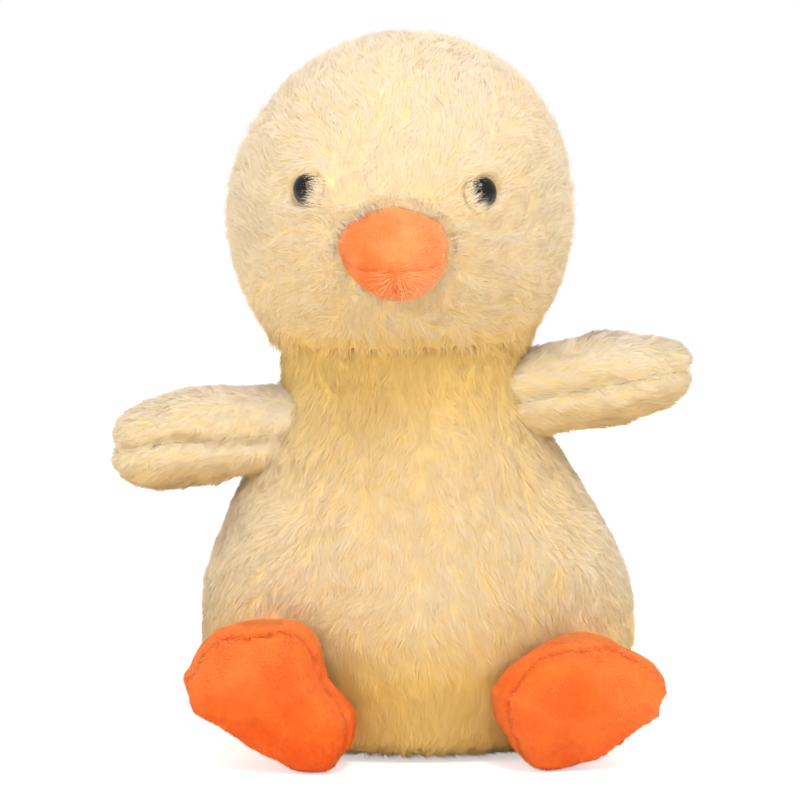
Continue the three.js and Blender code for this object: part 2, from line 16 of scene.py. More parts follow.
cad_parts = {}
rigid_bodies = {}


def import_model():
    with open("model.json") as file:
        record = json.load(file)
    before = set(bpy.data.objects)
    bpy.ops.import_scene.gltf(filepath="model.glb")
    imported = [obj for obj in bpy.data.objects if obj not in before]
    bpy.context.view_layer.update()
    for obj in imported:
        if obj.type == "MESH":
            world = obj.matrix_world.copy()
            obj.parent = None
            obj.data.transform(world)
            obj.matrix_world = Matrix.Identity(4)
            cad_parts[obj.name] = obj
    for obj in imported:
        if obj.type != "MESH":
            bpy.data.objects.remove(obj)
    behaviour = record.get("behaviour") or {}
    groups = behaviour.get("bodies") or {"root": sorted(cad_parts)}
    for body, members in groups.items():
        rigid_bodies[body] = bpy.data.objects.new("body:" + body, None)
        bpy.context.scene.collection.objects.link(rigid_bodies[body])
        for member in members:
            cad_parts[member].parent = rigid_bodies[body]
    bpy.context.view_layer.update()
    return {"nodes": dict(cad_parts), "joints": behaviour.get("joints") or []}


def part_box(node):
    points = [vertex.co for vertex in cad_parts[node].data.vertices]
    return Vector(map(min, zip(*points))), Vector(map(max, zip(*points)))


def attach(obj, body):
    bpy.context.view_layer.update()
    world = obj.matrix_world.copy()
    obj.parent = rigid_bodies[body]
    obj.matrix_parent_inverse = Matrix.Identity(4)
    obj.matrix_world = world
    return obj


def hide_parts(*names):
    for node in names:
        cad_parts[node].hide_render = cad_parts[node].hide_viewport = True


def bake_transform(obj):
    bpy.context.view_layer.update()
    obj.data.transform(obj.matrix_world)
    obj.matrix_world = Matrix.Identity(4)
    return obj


bl_info = {
    "name": "Plush duck",
    "version": (1, 0, 0),
    "blender": (4, 5, 0),
    "location": "3D View > Sidebar > Duck",
    "description": "Makes the covers, pile, stuffing, eyes and weight of a sitting plush duck",
    "category": "Object",
}

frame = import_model()

MM = 0.001
BAKE_MAP = "OFBake"
# The pile's painted shade deepens its colour where shade falls; on the feet it also pales the colour where
# light falls (painted light).
HEIGHT, TONE, PAINTED_SHADE, SEAM = "pile_height", "pile_tone", "pile_depth", "seam"
UP, DOWN, FORWARD = np.array([0, 0, 1.0]), np.array([0, 0, -1.0]), np.array([0, -1.0, 0])
LEVEL = np.array([1, 1, 0])  # leaves the level part of a direction
SIDES = ("left", "right")
HEAD_TALLNESS = 1.053  # half height of the head over its half width
LASH_SIDE = {"left": (-1, 0, -0.55), "right": (1, 0, -0.2)}  # from which side the pile crosses an eye
EYE_RADIUS, EYE_DOME = 0.0060, 0.0054
EYE_LIFT = 0.0003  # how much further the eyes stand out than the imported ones
EYE_SHIFT = {"left": (-0.0009, 0, 0.0017), "right": (0.0013, 0, 0.0007)}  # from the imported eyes
CLEARANCE = 0.0004  # between pile and what it lies on

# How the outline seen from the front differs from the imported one, as a factor for every 15 degrees from +X
# round to +Z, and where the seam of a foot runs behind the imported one, in millimetres for every 30 degrees.
CENTRE = {
    "foot_left": (0.0608, 0.0195),
    "foot_right": (-0.0550, 0.0215),
    "wing_left": (0.0772, 0.1345),
    "wing_right": (-0.0834, 0.1150),
    "beak": (-0.0093, 0.1864),
}
OUTLINE = {
    "foot_left": (
        1.27, 1.13, 0.94, 0.88, 0.85, 0.92, 0.92, 0.91, 0.90, 0.93, 1.02, 1.07,
        0.96, 0.84, 0.90, 1.02, 1.06, 1.05, 1.11, 1.13, 1.14, 1.12, 1.13, 1.17,
    ),
    "foot_right": (
        0.93, 0.87, 0.77, 0.78, 0.87, 0.98, 1.04, 1.07, 1.11, 1.08, 0.99, 1.07,
        1.26, 1.09, 1.06, 1.04, 1.08, 1.10, 1.12, 1.06, 1.10, 1.06, 0.92, 0.89,
    ),
    "wing_left": (
        1.00, 1.05, 1.08, 1.00, 0.95, 0.94, 0.99, 1.02, 1.05, 1.01, 1.04, 1.01,
        1.00, 1.00, 0.98, 0.95, 0.90, 0.88, 0.90, 0.88, 0.86, 0.88, 0.92, 0.96,
    ),
    "wing_right": (
        1.00, 1.00, 1.00, 1.00, 1.05, 1.04, 1.04, 1.03, 1.00, 0.95, 0.94, 0.97,
        0.95, 0.99, 1.05, 1.08, 1.06, 1.02, 0.96, 0.97, 1.05, 1.01, 1.00, 1.00,
    ),
    "beak": (
        1.06, 1.10, 1.15, 1.10, 1.05, 1.02, 1.03, 0.98, 0.98, 0.99, 1.03, 1.00,
        0.96, 0.88, 0.82, 0.79, 0.79, 0.84, 0.85, 0.91, 0.96, 0.99, 1.00, 1.03,
    ),
}
FOOT_SEAM_SHIFT = {
    "foot_left": (0, 1.5, 3, 1, 5, 5, 4, 6, 3, 2, 1, 0),
    "foot_right": (6, 9, 5, 1, 0, 0, 2, 2, 2, 2, 4, 9),
}

BEAK = ("beak_upper_panel", "beak_lower_panel")
LIMBS = {
    "wing_left": ("wing_left_upper_panel", "wing_left_lower_panel"),
    "wing_right": ("wing_right_upper_panel", "wing_right_lower_panel"),
    "foot_left": ("foot_left_sole", "foot_left_upper"),
    "foot_right": ("foot_right_sole", "foot_right_upper"),
}
# How far strands share the shading of their cloth.
SOFTNESS = {"yellow pile": 0.85, "foot pile": 0.75, "beak pile": 0.7}


# Settings that a user would change


def a_length(name, description, default):
    return FloatProperty(name=name, description=description, default=default, unit="LENGTH")


def a_colour(name, description, default):
    return FloatVectorProperty(name=name, description=description, default=default, subtype="COLOR", size=3)


def a_density(default):
    said = "Strands on a square millimetre of cloth"
    return FloatProperty(name="Density", description=said, default=default, min=0.05)


class PlushSettings(bpy.types.PropertyGroup):
    """Yellow plush: the long pile of the body, the head, the wings and the tail"""

    bed_depth: a_length("Bed depth", "How far the dense part of the pile lies under its tips", 0.0024)
    backing_depth: a_length("Backing depth", "How far the back of the cloth lies under the tips", 0.0066)
    strand_length: a_length("Strand length", "Length of a strand above the bed", 0.0042)
    strand_width: a_length("Strand width", "Width of a strand near its root", 0.00026)
    tuft_size: a_length("Tuft size", "Distance between the tufts that strands gather in", 0.0048)
    tuft_height: a_length("Tuft height", "How far the tufts stand out of the bed", 0.0006)
    density: a_density(1.86)
    tip_colour: a_colour("Tip colour", "Colour of the tips", (0.89, 0.80, 0.71))
    root_colour: a_colour("Root colour", "Colour deep in the pile", (0.94, 0.645, 0.215))


class OrangeSettings(bpy.types.PropertyGroup):
    """Orange cloth: the short pile of the feet and the beak"""

    strand_length: a_length("Strand length", "Length of one strand of the short pile", 0.0013)
    strand_width: a_length("Strand width", "Width of a strand near its root", 0.00017)
    tuft_size: a_length("Tuft size", "Distance between the tufts that strands gather in", 0.0022)
    density: a_density(4.7)
    seam_depth: a_length("Seam depth", "How far the seam of a foot pulls the cloth in", 0.0013)
    foot_colour: a_colour("Foot colour", "Colour of the feet", (0.93, 0.138, 0.0125))
    beak_colour: a_colour("Beak colour", "Colour of the beak", (0.93, 0.225, 0.05))


class EyeSettings(bpy.types.PropertyGroup):
    """Domed plastic eyes"""

    colour: a_colour("Colour", "Colour of the plastic", (0.006, 0.005, 0.005))
    roughness: FloatProperty(
        name="Roughness", description="Roughness of the polished dome", default=0.05, min=0.0, max=1.0
    )


class StuffingSettings(bpy.types.PropertyGroup):
    """Wadding, pouch and pellets"""

    lump_height: a_length("Lump height", "How far the wadding's lumps stand out", 0.0008)
    pellet_radius: a_length("Pellet radius", "Radius of a plastic pellet", 0.0017)


class StageSettings(bpy.types.PropertyGroup):
    """Floor, light and camera"""

    floor_size: a_length("Floor size", "Side of the floor", 8.0)
    camera_distance: a_length("Camera distance", "From the camera to the duck", 1.5)
    camera_rise: FloatProperty(
        name="Camera rise", description="Angle at which the camera looks down", default=math.radians(5),
        subtype="ANGLE",
    )
    aim: FloatVectorProperty(
        name="Aim", description="The point that the camera looks at", default=(-0.0068, 0.0, 0.1282),
        subtype="TRANSLATION", size=3,
    )
    lens: FloatProperty(name="Lens", description="Focal length in millimetres", default=179.8)


def plush():
    return bpy.context.scene.duck_plush


def orange():
    return bpy.context.scene.duck_orange


# Mesh tools


def select_only(*objects):
    bpy.ops.object.select_all(action="DESELECT")
    for item in objects:
        item.select_set(True)
    bpy.context.view_layer.objects.active = objects[0]


def apply_modifier(item, kind, **settings):
    """Adds a modifier with these settings and applies it."""
    modifier = item.modifiers.new(kind, kind)
    for name, value in settings.items():
        setattr(modifier, name, value)
    select_only(item)
    bpy.ops.object.modifier_apply(modifier=modifier.name)


def points_of(item):
    co = np.empty(len(item.data.vertices) * 3)
    item.data.vertices.foreach_get("co", co)
    return co.reshape(-1, 3)


def normals_of(item):
    found = np.empty(len(item.data.vertices) * 3)
    item.data.vertex_normals.foreach_get("vector", found)
    return found.reshape(-1, 3)


def place_points(item, points):
    item.data.vertices.foreach_set("co", points.ravel())
    item.data.update()


def unit(vectors):
    return vectors / np.maximum(np.linalg.norm(vectors, axis=-1, keepdims=True), 1e-12)


def distance(points, place):
    return np.linalg.norm(points - place, axis=1)


def bell(value):
    """1 where a value is 0, and almost nothing from 2 on."""
    return np.exp(-(value**2))


def smoothstep(low, high, value):
    share = np.clip((value - low) / (high - low), 0, 1)
    return share * share * (3 - 2 * share)


def ripple(points, wavelength, seed, waves=9):
    """A smooth field from about -1 to 1 that changes over a wavelength."""
    rng = np.random.default_rng(seed)
    field = np.zeros(len(points))
    for _ in range(waves):
        direction = unit(rng.normal(size=3))
        stretch = rng.uniform(0.6, 1.5)
        turns = points @ direction * (2 * math.pi / (wavelength * stretch))
        field += np.sin(turns + rng.uniform(0, 2 * math.pi))
    return field / math.sqrt(waves / 2) / 1.6


def centre_of(*nodes):
    """Middle and half sizes of the box round some nodes."""
    boxes = [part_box(node) for node in nodes]
    low = np.min([np.array(low) for low, _ in boxes], axis=0)
    high = np.max([np.array(high) for _, high in boxes], axis=0)
    return (low + high) / 2, (high - low) / 2


def link(item):
    bpy.context.scene.collection.objects.link(item)
    return item


def twin_of(form, name):
    """A copy of a form with a mesh of its own."""
    twin = form.copy()
    twin.data = form.data.copy()
    twin.name = twin.data.name = name
    return link(twin)


def join(form, *others):
    select_only(form, *others)
    bpy.ops.object.join()


def copy_of_nodes(*nodes):
    """One mesh object with copies of these nodes, merged at their corners."""
    copies = [twin_of(frame["nodes"][node], f"{node}_copy") for node in nodes]
    for twin in copies:
        twin.parent = None
        twin.hide_render = twin.hide_viewport = False
    joined = copies[0]
    if len(copies) > 1:
        join(*copies)
    for key in list(joined.keys()):
        del joined[key]
    apply_modifier(joined, "WELD", merge_threshold=1e-5)
    return joined


def corner_tree(corners):
    tree = KDTree(len(corners))
    for i, corner in enumerate(corners):
        tree.insert(corner, i)
    tree.balance()
    return tree


def note(mesh, name, values):
    """Keeps a value for each corner, which the materials read."""
    mesh.attributes.new(name, "FLOAT", "POINT").data.foreach_set("value", values.astype(np.float32))


def remove(item):
    bpy.data.objects.remove(item, do_unlink=True)


def ball(name, pole, segments, rings):
    """A ball with its poles along an axis, and the direction of each of its corners."""
    bpy.ops.mesh.primitive_uv_sphere_add(segments=segments, ring_count=rings, radius=1)
    form = bpy.context.object
    form.name = form.data.name = name
    form.data.uv_layers[0].name = BAKE_MAP
    form.data.transform(Vector((0, 0, 1)).rotation_difference(Vector(pole)).to_matrix().to_4x4())
    return form, unit(points_of(form))


def drawn_on(form, nodes, targets, directions, adjust=None):
    """Pulls each corner of a form on to the outside of some nodes, towards a target against a direction."""
    beyond, beside = 0.3, 0.02  # where a ray starts, and where to look for the nearest place if it misses
    solid = copy_of_nodes(*nodes)
    tree = tree_of(solid)
    remove(solid)
    points = np.empty_like(directions)
    for i, (target, direction) in enumerate(zip(targets, directions)):
        hit = tree.ray_cast(Vector(target + direction * beyond), Vector(-direction))[0]
        points[i] = hit if hit else tree.find_nearest(Vector(target + direction * beside))[0]
    place_points(form, adjust(points) if adjust else points)


def smoothed(form, relax=2):
    """Smooths and subdivides a form, and gives it back the girth that this costs."""
    wanted = points_of(form)
    apply_modifier(form, "SMOOTH", factor=0.5, iterations=relax)
    cage = points_of(form)
    trial = twin_of(form, "trial")
    apply_modifier(trial, "SUBSURF", levels=1, render_levels=1)
    normals = normals_of(trial)[: len(cage)]
    lost = ((wanted - points_of(trial)[: len(cage)]) * normals).sum(1)
    remove(trial)
    tree = corner_tree(wanted)
    lost = np.array([np.mean([lost[hit[1]] for hit in tree.find_n(corner, 12)]) for corner in wanted])
    place_points(form, cage + normals * lost[:, None])
    apply_modifier(form, "SUBSURF", levels=2, render_levels=2)


def wrapped(name, nodes, pole, segments, rings, relax=2, middle=None, adjust=None):
    """A closed form drawn over the outside of some nodes from their middle."""
    form, directions = ball(name, pole, segments, rings)
    if middle is None:
        middle = centre_of(*nodes)[0]
    drawn_on(form, nodes, np.tile(middle, (len(directions), 1)), directions, adjust)
    smoothed(form, relax)
    return form


def wrapped_along(name, nodes, axis, clear, sink, segments, rings):
    """A closed form drawn over a limb: a tube with a rounded tip, whose root is drawn out into the body.

    Its corners climb from 0 at the root to 1 at the tip: first the closed end, then the tube, and from
    bow_start on the round of the tip. clear: from where the tube follows the limb. sink: how far its root is
    drawn out.
    """
    closed, bow_start = 0.15, 0.58
    form, directions = ball(name, axis, segments, rings)
    middle, _ = centre_of(*nodes)
    corners = np.concatenate([points_of(frame["nodes"][node]) for node in nodes])
    along = (corners - middle) @ axis
    root, tip = along.min(), along.max()
    girth = np.sort(np.ptp(corners - np.outer(along, axis), axis=0))[-2] / 2
    climb = np.degrees(np.arccos(np.clip(-directions @ axis, -1, 1))) / 180
    radial = unit(directions - np.outer(directions @ axis, axis) + 1e-9)
    tube = np.clip((climb - closed) / (bow_start - closed), 0, 1)
    place = root - sink + tube * (tip - girth - root + sink)
    bow = np.clip((climb - bow_start) / (1 - bow_start), 0, 1) * math.pi / 2
    towards = radial * np.cos(bow)[:, None] + axis * np.sin(bow)[:, None]
    drawn_on(form, nodes, middle + np.outer(np.maximum(place, root + clear), axis), towards)
    points = points_of(form)
    points += np.outer(np.minimum(place - root - clear, 0), axis)
    centre = middle + np.outer(place, axis)
    close = np.sin(np.clip(climb / closed, 0, 1) * math.pi / 2)[:, None]
    place_points(form, np.where(close < 1, centre + (points - centre) * close, points))
    smoothed(form)
    return form


def inset(form, depth):
    """Moves a form's surface inwards, by one depth or by one for each vertex."""
    depths = np.broadcast_to(depth, len(form.data.vertices))
    place_points(form, points_of(form) - normals_of(form) * depths[:, None])


def pivot_of(joint):
    return np.array(next(row for row in frame["joints"] if row["name"] == joint)["pos_m"])


def neck_pivot():
    """Middle of the ball at the top of the neck, on which the head turns."""
    return pivot_of("head_turn")


def neck_ball_radius():
    return distance(points_of(frame["nodes"]["neck_filling"]), neck_pivot()).max()


def above_neck_ball(places):
    return distance(places, neck_pivot()) - neck_ball_radius()


def above_neck_seam(places):
    return places[:, 2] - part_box("head_cover")[0].z


def from_eye(points, side):
    return distance(points, eye_axis(side)[0])


def inset_but_cap(form, depth):
    """Moves the body's surface inwards, but hardly where the head sits on it, so the neck stays closed."""
    inset(form, depth * (0.1 + 0.9 * smoothstep(0.004, -0.003, above_neck_seam(points_of(form)))))


def inset_but_rim(form, depth):
    """Moves the head's surface inwards, but hardly where it sits on the body and round the eyes."""
    points = points_of(form)
    share = 0.1 + 0.9 * smoothstep(0.0006, 0.006, above_neck_ball(points))
    for side in SIDES:
        share *= 1 - 0.75 * smoothstep(0.013, 0.008, from_eye(points, side))
    inset(form, depth * share)


def head_round():
    """Middle and half sizes of the ball that the head is, which its neck opening cuts off below."""
    middle, half = centre_of("head_cover")
    half = np.array([half[0], half[1], half[0] * HEAD_TALLNESS])
    return np.array([middle[0], middle[1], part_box("head_cover")[1].z - half[2]]), half


def head_middle():
    return head_round()[0]


def clear_of_neck_ball(points):
    """Carries the round of the head on down to the ball it turns on, and lines its opening with that ball."""
    (middle, half), pivot, radius = head_round(), neck_pivot(), neck_ball_radius() + 0.0005
    ray = unit(points - middle)
    round_off = middle + ray / np.linalg.norm(ray / half, axis=1, keepdims=True)
    points = np.where((above_neck_ball(points) < 0.0015)[:, None], round_off, points)
    for side in SIDES:
        points += (round_off - points) * smoothstep(0.016, 0.011, from_eye(points, side))[:, None]
    off = points - pivot
    outward = unit(off * LEVEL + 1e-9)

    def on_ball(angle):
        return pivot + radius * (outward * np.sin(angle)[:, None] + UP * np.cos(angle)[:, None])

    # The rim is where the ball of the neck leaves that of the head, found by halving.
    low, high = np.zeros(len(points)), np.full(len(points), 1.5)
    for _ in range(24):
        rim = (low + high) / 2
        within = np.linalg.norm((on_ball(rim) - middle) / half, axis=1) < 1
        low, high = np.where(within, rim, low), np.where(within, high, rim)
    share = np.linalg.norm(off, axis=1) / radius
    points = np.where((share < 1)[:, None], on_ball(rim * share), points)
    lean = 0.0022  # of the crown towards the duck's left
    points[:, 0] += lean * smoothstep(0.205, 0.25, points[:, 2])
    return points


def press_on_neck_ball(coat):
    """Lays the pile flat on the ball at the top of the neck, so that the head slides over it."""
    height = above_neck_seam(coat.root)
    off = coat.tip - neck_pivot()
    most = neck_ball_radius() + CLEARANCE + 0.004 * smoothstep(0.002, -0.008, height)
    share = np.minimum(most / np.linalg.norm(off, axis=1), 1)
    pressed = height > -0.010
    coat.tip[pressed] = (neck_pivot() + off * share[:, None])[pressed]


def pear(points):
    """Draws the neck in on the right, and lets the base reach further forward on the floor."""
    slim = bell((points[:, 2] - 0.137) / 0.013) * smoothstep(-0.02, -0.045, points[:, 0])
    points[:, 0] += 0.0022 * slim
    points[:, 1] *= 1 + 0.11 * smoothstep(0.018, 0.002, points[:, 2])
    return points


def sit_above(form, height):
    """Flattens what would reach below a height."""
    points = points_of(form)
    points[:, 2] = np.maximum(points[:, 2], height)
    place_points(form, points)


def shell(form, thickness):
    """Gives a closed form a wall on its inside."""
    apply_modifier(form, "SOLIDIFY", thickness=thickness, offset=-1, use_even_offset=False)


def scatter(form, count, rng):
    """Evenly spread points on a mesh, with its smooth normals there."""
    mesh = form.data
    mesh.calc_loop_triangles()
    corners = np.empty(len(mesh.loop_triangles) * 3, np.int32)
    mesh.loop_triangles.foreach_get("vertices", corners)
    corners = corners.reshape(-1, 3)
    points, normals = points_of(form), normals_of(form)
    a, b, c = (points[corners[:, k]] for k in range(3))
    area = np.linalg.norm(np.cross(b - a, c - a), axis=1) / 2
    reach = np.cumsum(area)
    picks = (np.arange(count) + rng.random(count)) / count * reach[-1]
    face = np.minimum(np.searchsorted(reach, picks), len(area) - 1)
    u, v = rng.random(count), rng.random(count)
    flip = u + v > 1
    u[flip], v[flip] = 1 - u[flip], 1 - v[flip]
    shares = np.stack([1 - u - v, u, v], 1)[:, :, None]
    place = (points[corners[face]] * shares).sum(1)
    return place, unit((normals[corners[face]] * shares).sum(1))


def surface_area(form):
    return sum(face.area for face in form.data.polygons)


def is_inside(tree, point):
    place, normal, _, _ = tree.find_nearest(point)
    return place is not None and (point - place).dot(normal) < 0


def tree_of(form):
    return BVHTree.FromPolygons([v.co for v in form.data.vertices], [p.vertices for p in form.data.polygons])


# Pile


def along_surface(direction, normals):
    """A direction laid flat on the surface."""
    direction = np.broadcast_to(direction, normals.shape)
    return unit(direction - (direction * normals).sum(1, keepdims=True) * normals)


def turned(lay, normals, angle):
    """Directions turned about the surface's normals."""
    side = np.cross(normals, lay)
    return lay * np.cos(angle)[:, None] + side * np.sin(angle)[:, None]


def strand_mesh(name, rings, tips, shading, values):
    """One mesh of strands, each a closed spike with three sides. rings: root places (strand, side, xyz)."""
    count, stride = len(tips), 4
    faces = np.array([(0, 2, 1), (0, 1, 3), (1, 2, 3), (2, 0, 3)])
    corners = (faces[None] + (np.arange(count) * stride)[:, None, None]).reshape(-1)
    mesh = bpy.data.meshes.new(name)
    mesh.vertices.add(count * stride)
    mesh.loops.add(len(corners))
    mesh.polygons.add(len(corners) // 3)
    mesh.vertices.foreach_set("co", np.concatenate([rings, tips[:, None]], axis=1).ravel())
    mesh.loops.foreach_set("vertex_index", corners)
    mesh.polygons.foreach_set("loop_start", np.arange(0, len(corners), 3, dtype=np.int32))
    mesh.update(calc_edges=True)
    for attribute, value in values.items():
        note(mesh, attribute, np.repeat(value, stride))
    note(mesh, HEIGHT, np.tile([0.35, 0.35, 0.35, 1.0], count))
    # Each strand has its own cell of the bake map, root at its left and tip at its right.
    columns = max(1, round(math.sqrt(count / 4)))
    rows = math.ceil(count / columns)
    u, v = np.array([0.04, 0.04, 0.16, 0.96]), np.array([0.1, 0.9, 0.5, 0.5])
    index = np.arange(count)[:, None]
    cells = np.stack([(index % columns + u) / columns, (index // columns + v) / rows], axis=2).reshape(-1, 2)
    mesh.uv_layers.new(name=BAKE_MAP).uv.foreach_set("vector", cells[corners].astype(np.float32).ravel())
    mesh.normals_split_custom_set_from_vertices(shading.reshape(-1, 3).astype(np.float32))
    return link(bpy.data.objects.new(name, mesh))


class Coat:
    """The pile over a form: tufts in its bed, and the strands that grow from it."""

    def __init__(self, form, nap, size, seed, wander=0.5, tilt=0.055):
        self.form, self.nap, self.size, self.seed = form, nap, size, seed
        self.rng = rng = np.random.default_rng(seed)
        count = max(8, int(surface_area(form) / size**2))
        self.tuft_place, normal = scatter(form, count, rng)
        angle = wander * ripple(self.tuft_place, 7 * size, seed) + rng.normal(0, 0.3, count)
        self.tuft_lay = turned(nap(self.tuft_place, normal), normal, angle)
        self.tuft_angle, self.tuft_normal = angle, normal
        self.tuft_strength = rng.uniform(0.35, 1.0, count)
        self.tuft_tone = rng.normal(size=count)
        self.tuft_tilt = rng.normal(0, tilt, (count, 3))
        self.tree = corner_tree(self.tuft_place)

    def nearest(self, points, count=1):
        return np.array([[hit[1] for hit in self.tree.find_n(place, count)] for place in points])

    def relief(self, points):
        """How far the tufts lift these points, 0 to about 1. A tuft rises along its lay and ends steeply."""
        best = np.zeros(len(points))
        for index in self.nearest(points, 5).T:
            off = points - self.tuft_place[index]
            along = (off * self.tuft_lay[index]).sum(1) / (0.85 * self.size)
            side = np.cross(self.tuft_normal[index], self.tuft_lay[index])
            across = (off * side).sum(1) / (0.42 * self.size)
            steep = np.where(along > 0.45, (along - 0.45) * 2.4, (along - 0.45) * 0.8)
            best = np.maximum(best, self.tuft_strength[index] * np.exp(-(steep**2) - across**2))
        return best

    def emboss(self, height, depth_of, ruffled=None):
        """Raises the tufts in the form's own surface, and notes the painted shade of its colour."""
        points = points_of(self.form)
        relief = self.relief(points)
        heights = height * (1 + 1.2 * ruffled(points)) if ruffled else height
        place_points(self.form, points + normals_of(self.form) * ((relief - 0.4) * heights)[:, None])
        tone = 0.5 + 0.15 * ripple(points, 0.02, self.seed)
        self.depth_of = depth_of
        depth = depth_of(points, normals_of(self.form))
        for name, values in ((HEIGHT, 0.15 + 0.6 * relief), (TONE, tone), (PAINTED_SHADE, depth)):
            note(self.form.data, name, values)

    def grow(self, density, length, rise, gather, stray, stretch=None, ruffled=None):
        """Lays the strands along the nap, their tips drawn towards the tips of their tufts."""
        rng = self.rng
        count = int(surface_area(self.form) / MM**2 * density)
        self.root, self.normal = scatter(self.form, count, rng)
        self.tuft = self.nearest(self.root)[:, 0]
        loose = ruffled(self.root) if ruffled else np.zeros(count)
        angle = self.tuft_angle[self.tuft] * (1 + loose) + rng.normal(0, 1, count) * (stray + 0.5 * loose)
        lay = turned(self.nap(self.root, self.normal), self.normal, angle)
        size = length * (0.75 + 0.4 * self.tuft_strength[self.tuft]) * (1 + rng.normal(0, 0.14, count))
        if stretch:
            size = size * stretch(self.root)
        share = np.clip(rise + 0.15 * loose + rng.normal(0, 0.1, count), 0.1, 0.95)
        height, reach = (size * share)[:, None], (size * np.sqrt(1 - share**2))[:, None]
        tip = self.root + self.normal * height + lay * reach
        tuft_lay, tuft_normal = self.tuft_lay[self.tuft], self.tuft_normal[self.tuft]
        tuft_tip = self.tuft_place[self.tuft] + tuft_normal * height + tuft_lay * (reach + 0.4 * self.size)
        pull = (gather * rng.uniform(0.3, 1.0, count))[:, None]
        self.tip = tip + (tuft_tip - tip) * pull
        self.tone = 0.5 + 0.09 * self.tuft_tone[self.tuft] + 0.1 * rng.normal(size=count)
        # Painted shade of each strand, read at its root; ruffled strands get more or less of it at random.
        self.depth = self.depth_of(self.root, self.normal)
        self.depth = np.clip(self.depth + loose * rng.normal(0.06, 0.26, count), 0, 1)
        self.tilt = self.tuft_tilt[self.tuft]
        self.girth = np.ones(count)

    def select(self, keep):
        for name in ("root", "normal", "tip", "tone", "tilt", "depth", "girth"):
            setattr(self, name, getattr(self, name)[keep])

    def add(self, root, tip, normal, tone, girth=1.0, depth=0.0):
        """Adds single strands. depth: their painted shade."""
        count = len(root)
        extra = {"root": root, "tip": tip, "normal": normal, "tilt": np.zeros((count, 3))}
        single = {"tone": tone, "depth": depth, "girth": girth}
        extra |= {name: np.full(count, value) for name, value in single.items()}
        for name, values in extra.items():
            setattr(self, name, np.concatenate([getattr(self, name), values]))

    def above_floor(self, clearance):
        self.tip[:, 2] = np.maximum(self.tip[:, 2], clearance)

    def out_of(self, trees, reach=0.01):
        """Leaves out the strands that would end or start in another form."""
        keep = np.ones(len(self.root), bool)
        for tree, low, high in trees:
            near = ((self.tip > low - reach) & (self.tip < high + reach)).all(1)
            for i in np.flatnonzero(near):
                keep[i] &= not (is_inside(tree, Vector(self.tip[i])) or is_inside(tree, Vector(self.root[i])))
        self.select(keep)

    def mesh(self, name, chosen, width, softness):
        """The chosen strands as one object."""
        root, tip, normal = self.root[chosen], self.tip[chosen], self.normal[chosen]
        axis = unit(tip - root)
        sunk = root - axis * 0.0004
        spin = self.rng.uniform(0, 2 * math.pi, len(root))
        side = unit(np.cross(axis, normal) + 1e-9)
        up = np.cross(axis, side)
        thick = self.girth[chosen][:, None] * width / 2
        ring, shading = [], []
        for k in range(3):
            angle = spin + k * 2 * math.pi / 3
            out = side * np.cos(angle)[:, None] + up * np.sin(angle)[:, None]
            ring.append(sunk + out * thick)
            shading.append(unit(normal * softness + out * (1 - softness) + self.tilt[chosen]))
        shading.append(unit(normal + self.tilt[chosen]))
        values = {TONE: self.tone[chosen], PAINTED_SHADE: self.depth[chosen]}
        return strand_mesh(name, np.stack(ring, 1), tip, np.stack(shading, 1), values)


# Materials


def new_material(name):
    material = bpy.data.materials.new(name)
    material.use_nodes = True
    tree = material.node_tree
    return material, tree, tree.nodes["Principled BSDF"]


def add(tree, kind, inputs=(), **settings):
    """A node with these settings. inputs: pairs of a socket's name or number and a value or a socket."""
    node = tree.nodes.new(kind)
    for name, value in settings.items():
        setattr(node, name, value)
    for socket, value in inputs:
        if isinstance(value, bpy.types.NodeSocket):
            tree.links.new(value, node.inputs[socket])
        else:
            node.inputs[socket].default_value = value
    return node


def set_sockets(node, values):
    for socket, value in values.items():
        node.inputs[socket].default_value = value


def grain_group():
    """Soft mottling and a fine grain over a surface, in Object coordinates."""
    group = bpy.data.node_groups.new("Cloth grain", "ShaderNodeTree")
    for name, default in (("Patch size", 0.03), ("Grain size", 0.001)):
        socket = group.interface.new_socket(name, in_out="INPUT", socket_type="NodeSocketFloat")
        socket.default_value = default
    for name in ("Patches", "Grain"):
        group.interface.new_socket(name, in_out="OUTPUT", socket_type="NodeSocketFloat")
    start = group.nodes.new("NodeGroupInput")
    end = group.nodes.new("NodeGroupOutput")
    place = group.nodes.new("ShaderNodeTexCoord").outputs["Object"]
    for name, source, detail in (("Patches", "Patch size", 2.0), ("Grain", "Grain size", 3.0)):
        scale = add(group, "ShaderNodeMath", ((0, 1.0), (1, start.outputs[source])), operation="DIVIDE")
        inputs = (("Vector", place), ("Scale", scale.outputs[0]), ("Detail", detail))
        noise = add(group, "ShaderNodeTexNoise", inputs)
        group.links.new(noise.outputs["Fac"], end.inputs[name])
    return group


def grain(tree, patch_size, grain_size):
    group = bpy.data.node_groups.get("Cloth grain") or grain_group()
    node = tree.nodes.new("ShaderNodeGroup")
    node.node_tree = group
    set_sockets(node, {"Patch size": patch_size, "Grain size": grain_size})
    return node.outputs["Patches"], node.outputs["Grain"]


def rgba(colour, scale=1.0):
    return (*(min(1.0, channel * scale) for channel in colour), 1.0)


def mix(tree, factor, first, second, blend="MIX"):
    node = tree.nodes.new("ShaderNodeMix")
    node.data_type, node.blend_type = "RGBA", blend
    sockets = [node.inputs[i] for i in (0, 6, 7)]
    for socket, value in zip(sockets, (factor, first, second)):
        if isinstance(value, bpy.types.NodeSocket):
            tree.links.new(value, socket)
        else:
            socket.default_value = value
    return node.outputs[2]


def remap(tree, value, low, high, to_low=0.0, to_high=1.0):
    node = add(tree, "ShaderNodeMapRange", ((0, value), (1, low), (2, high), (3, to_low), (4, to_high)))
    return node.outputs[0]


def attribute(tree, name):
    return add(tree, "ShaderNodeAttribute", attribute_name=name).outputs["Fac"]


def tinted(colour, shares):
    return [channel * share for channel, share in zip(colour, shares)]


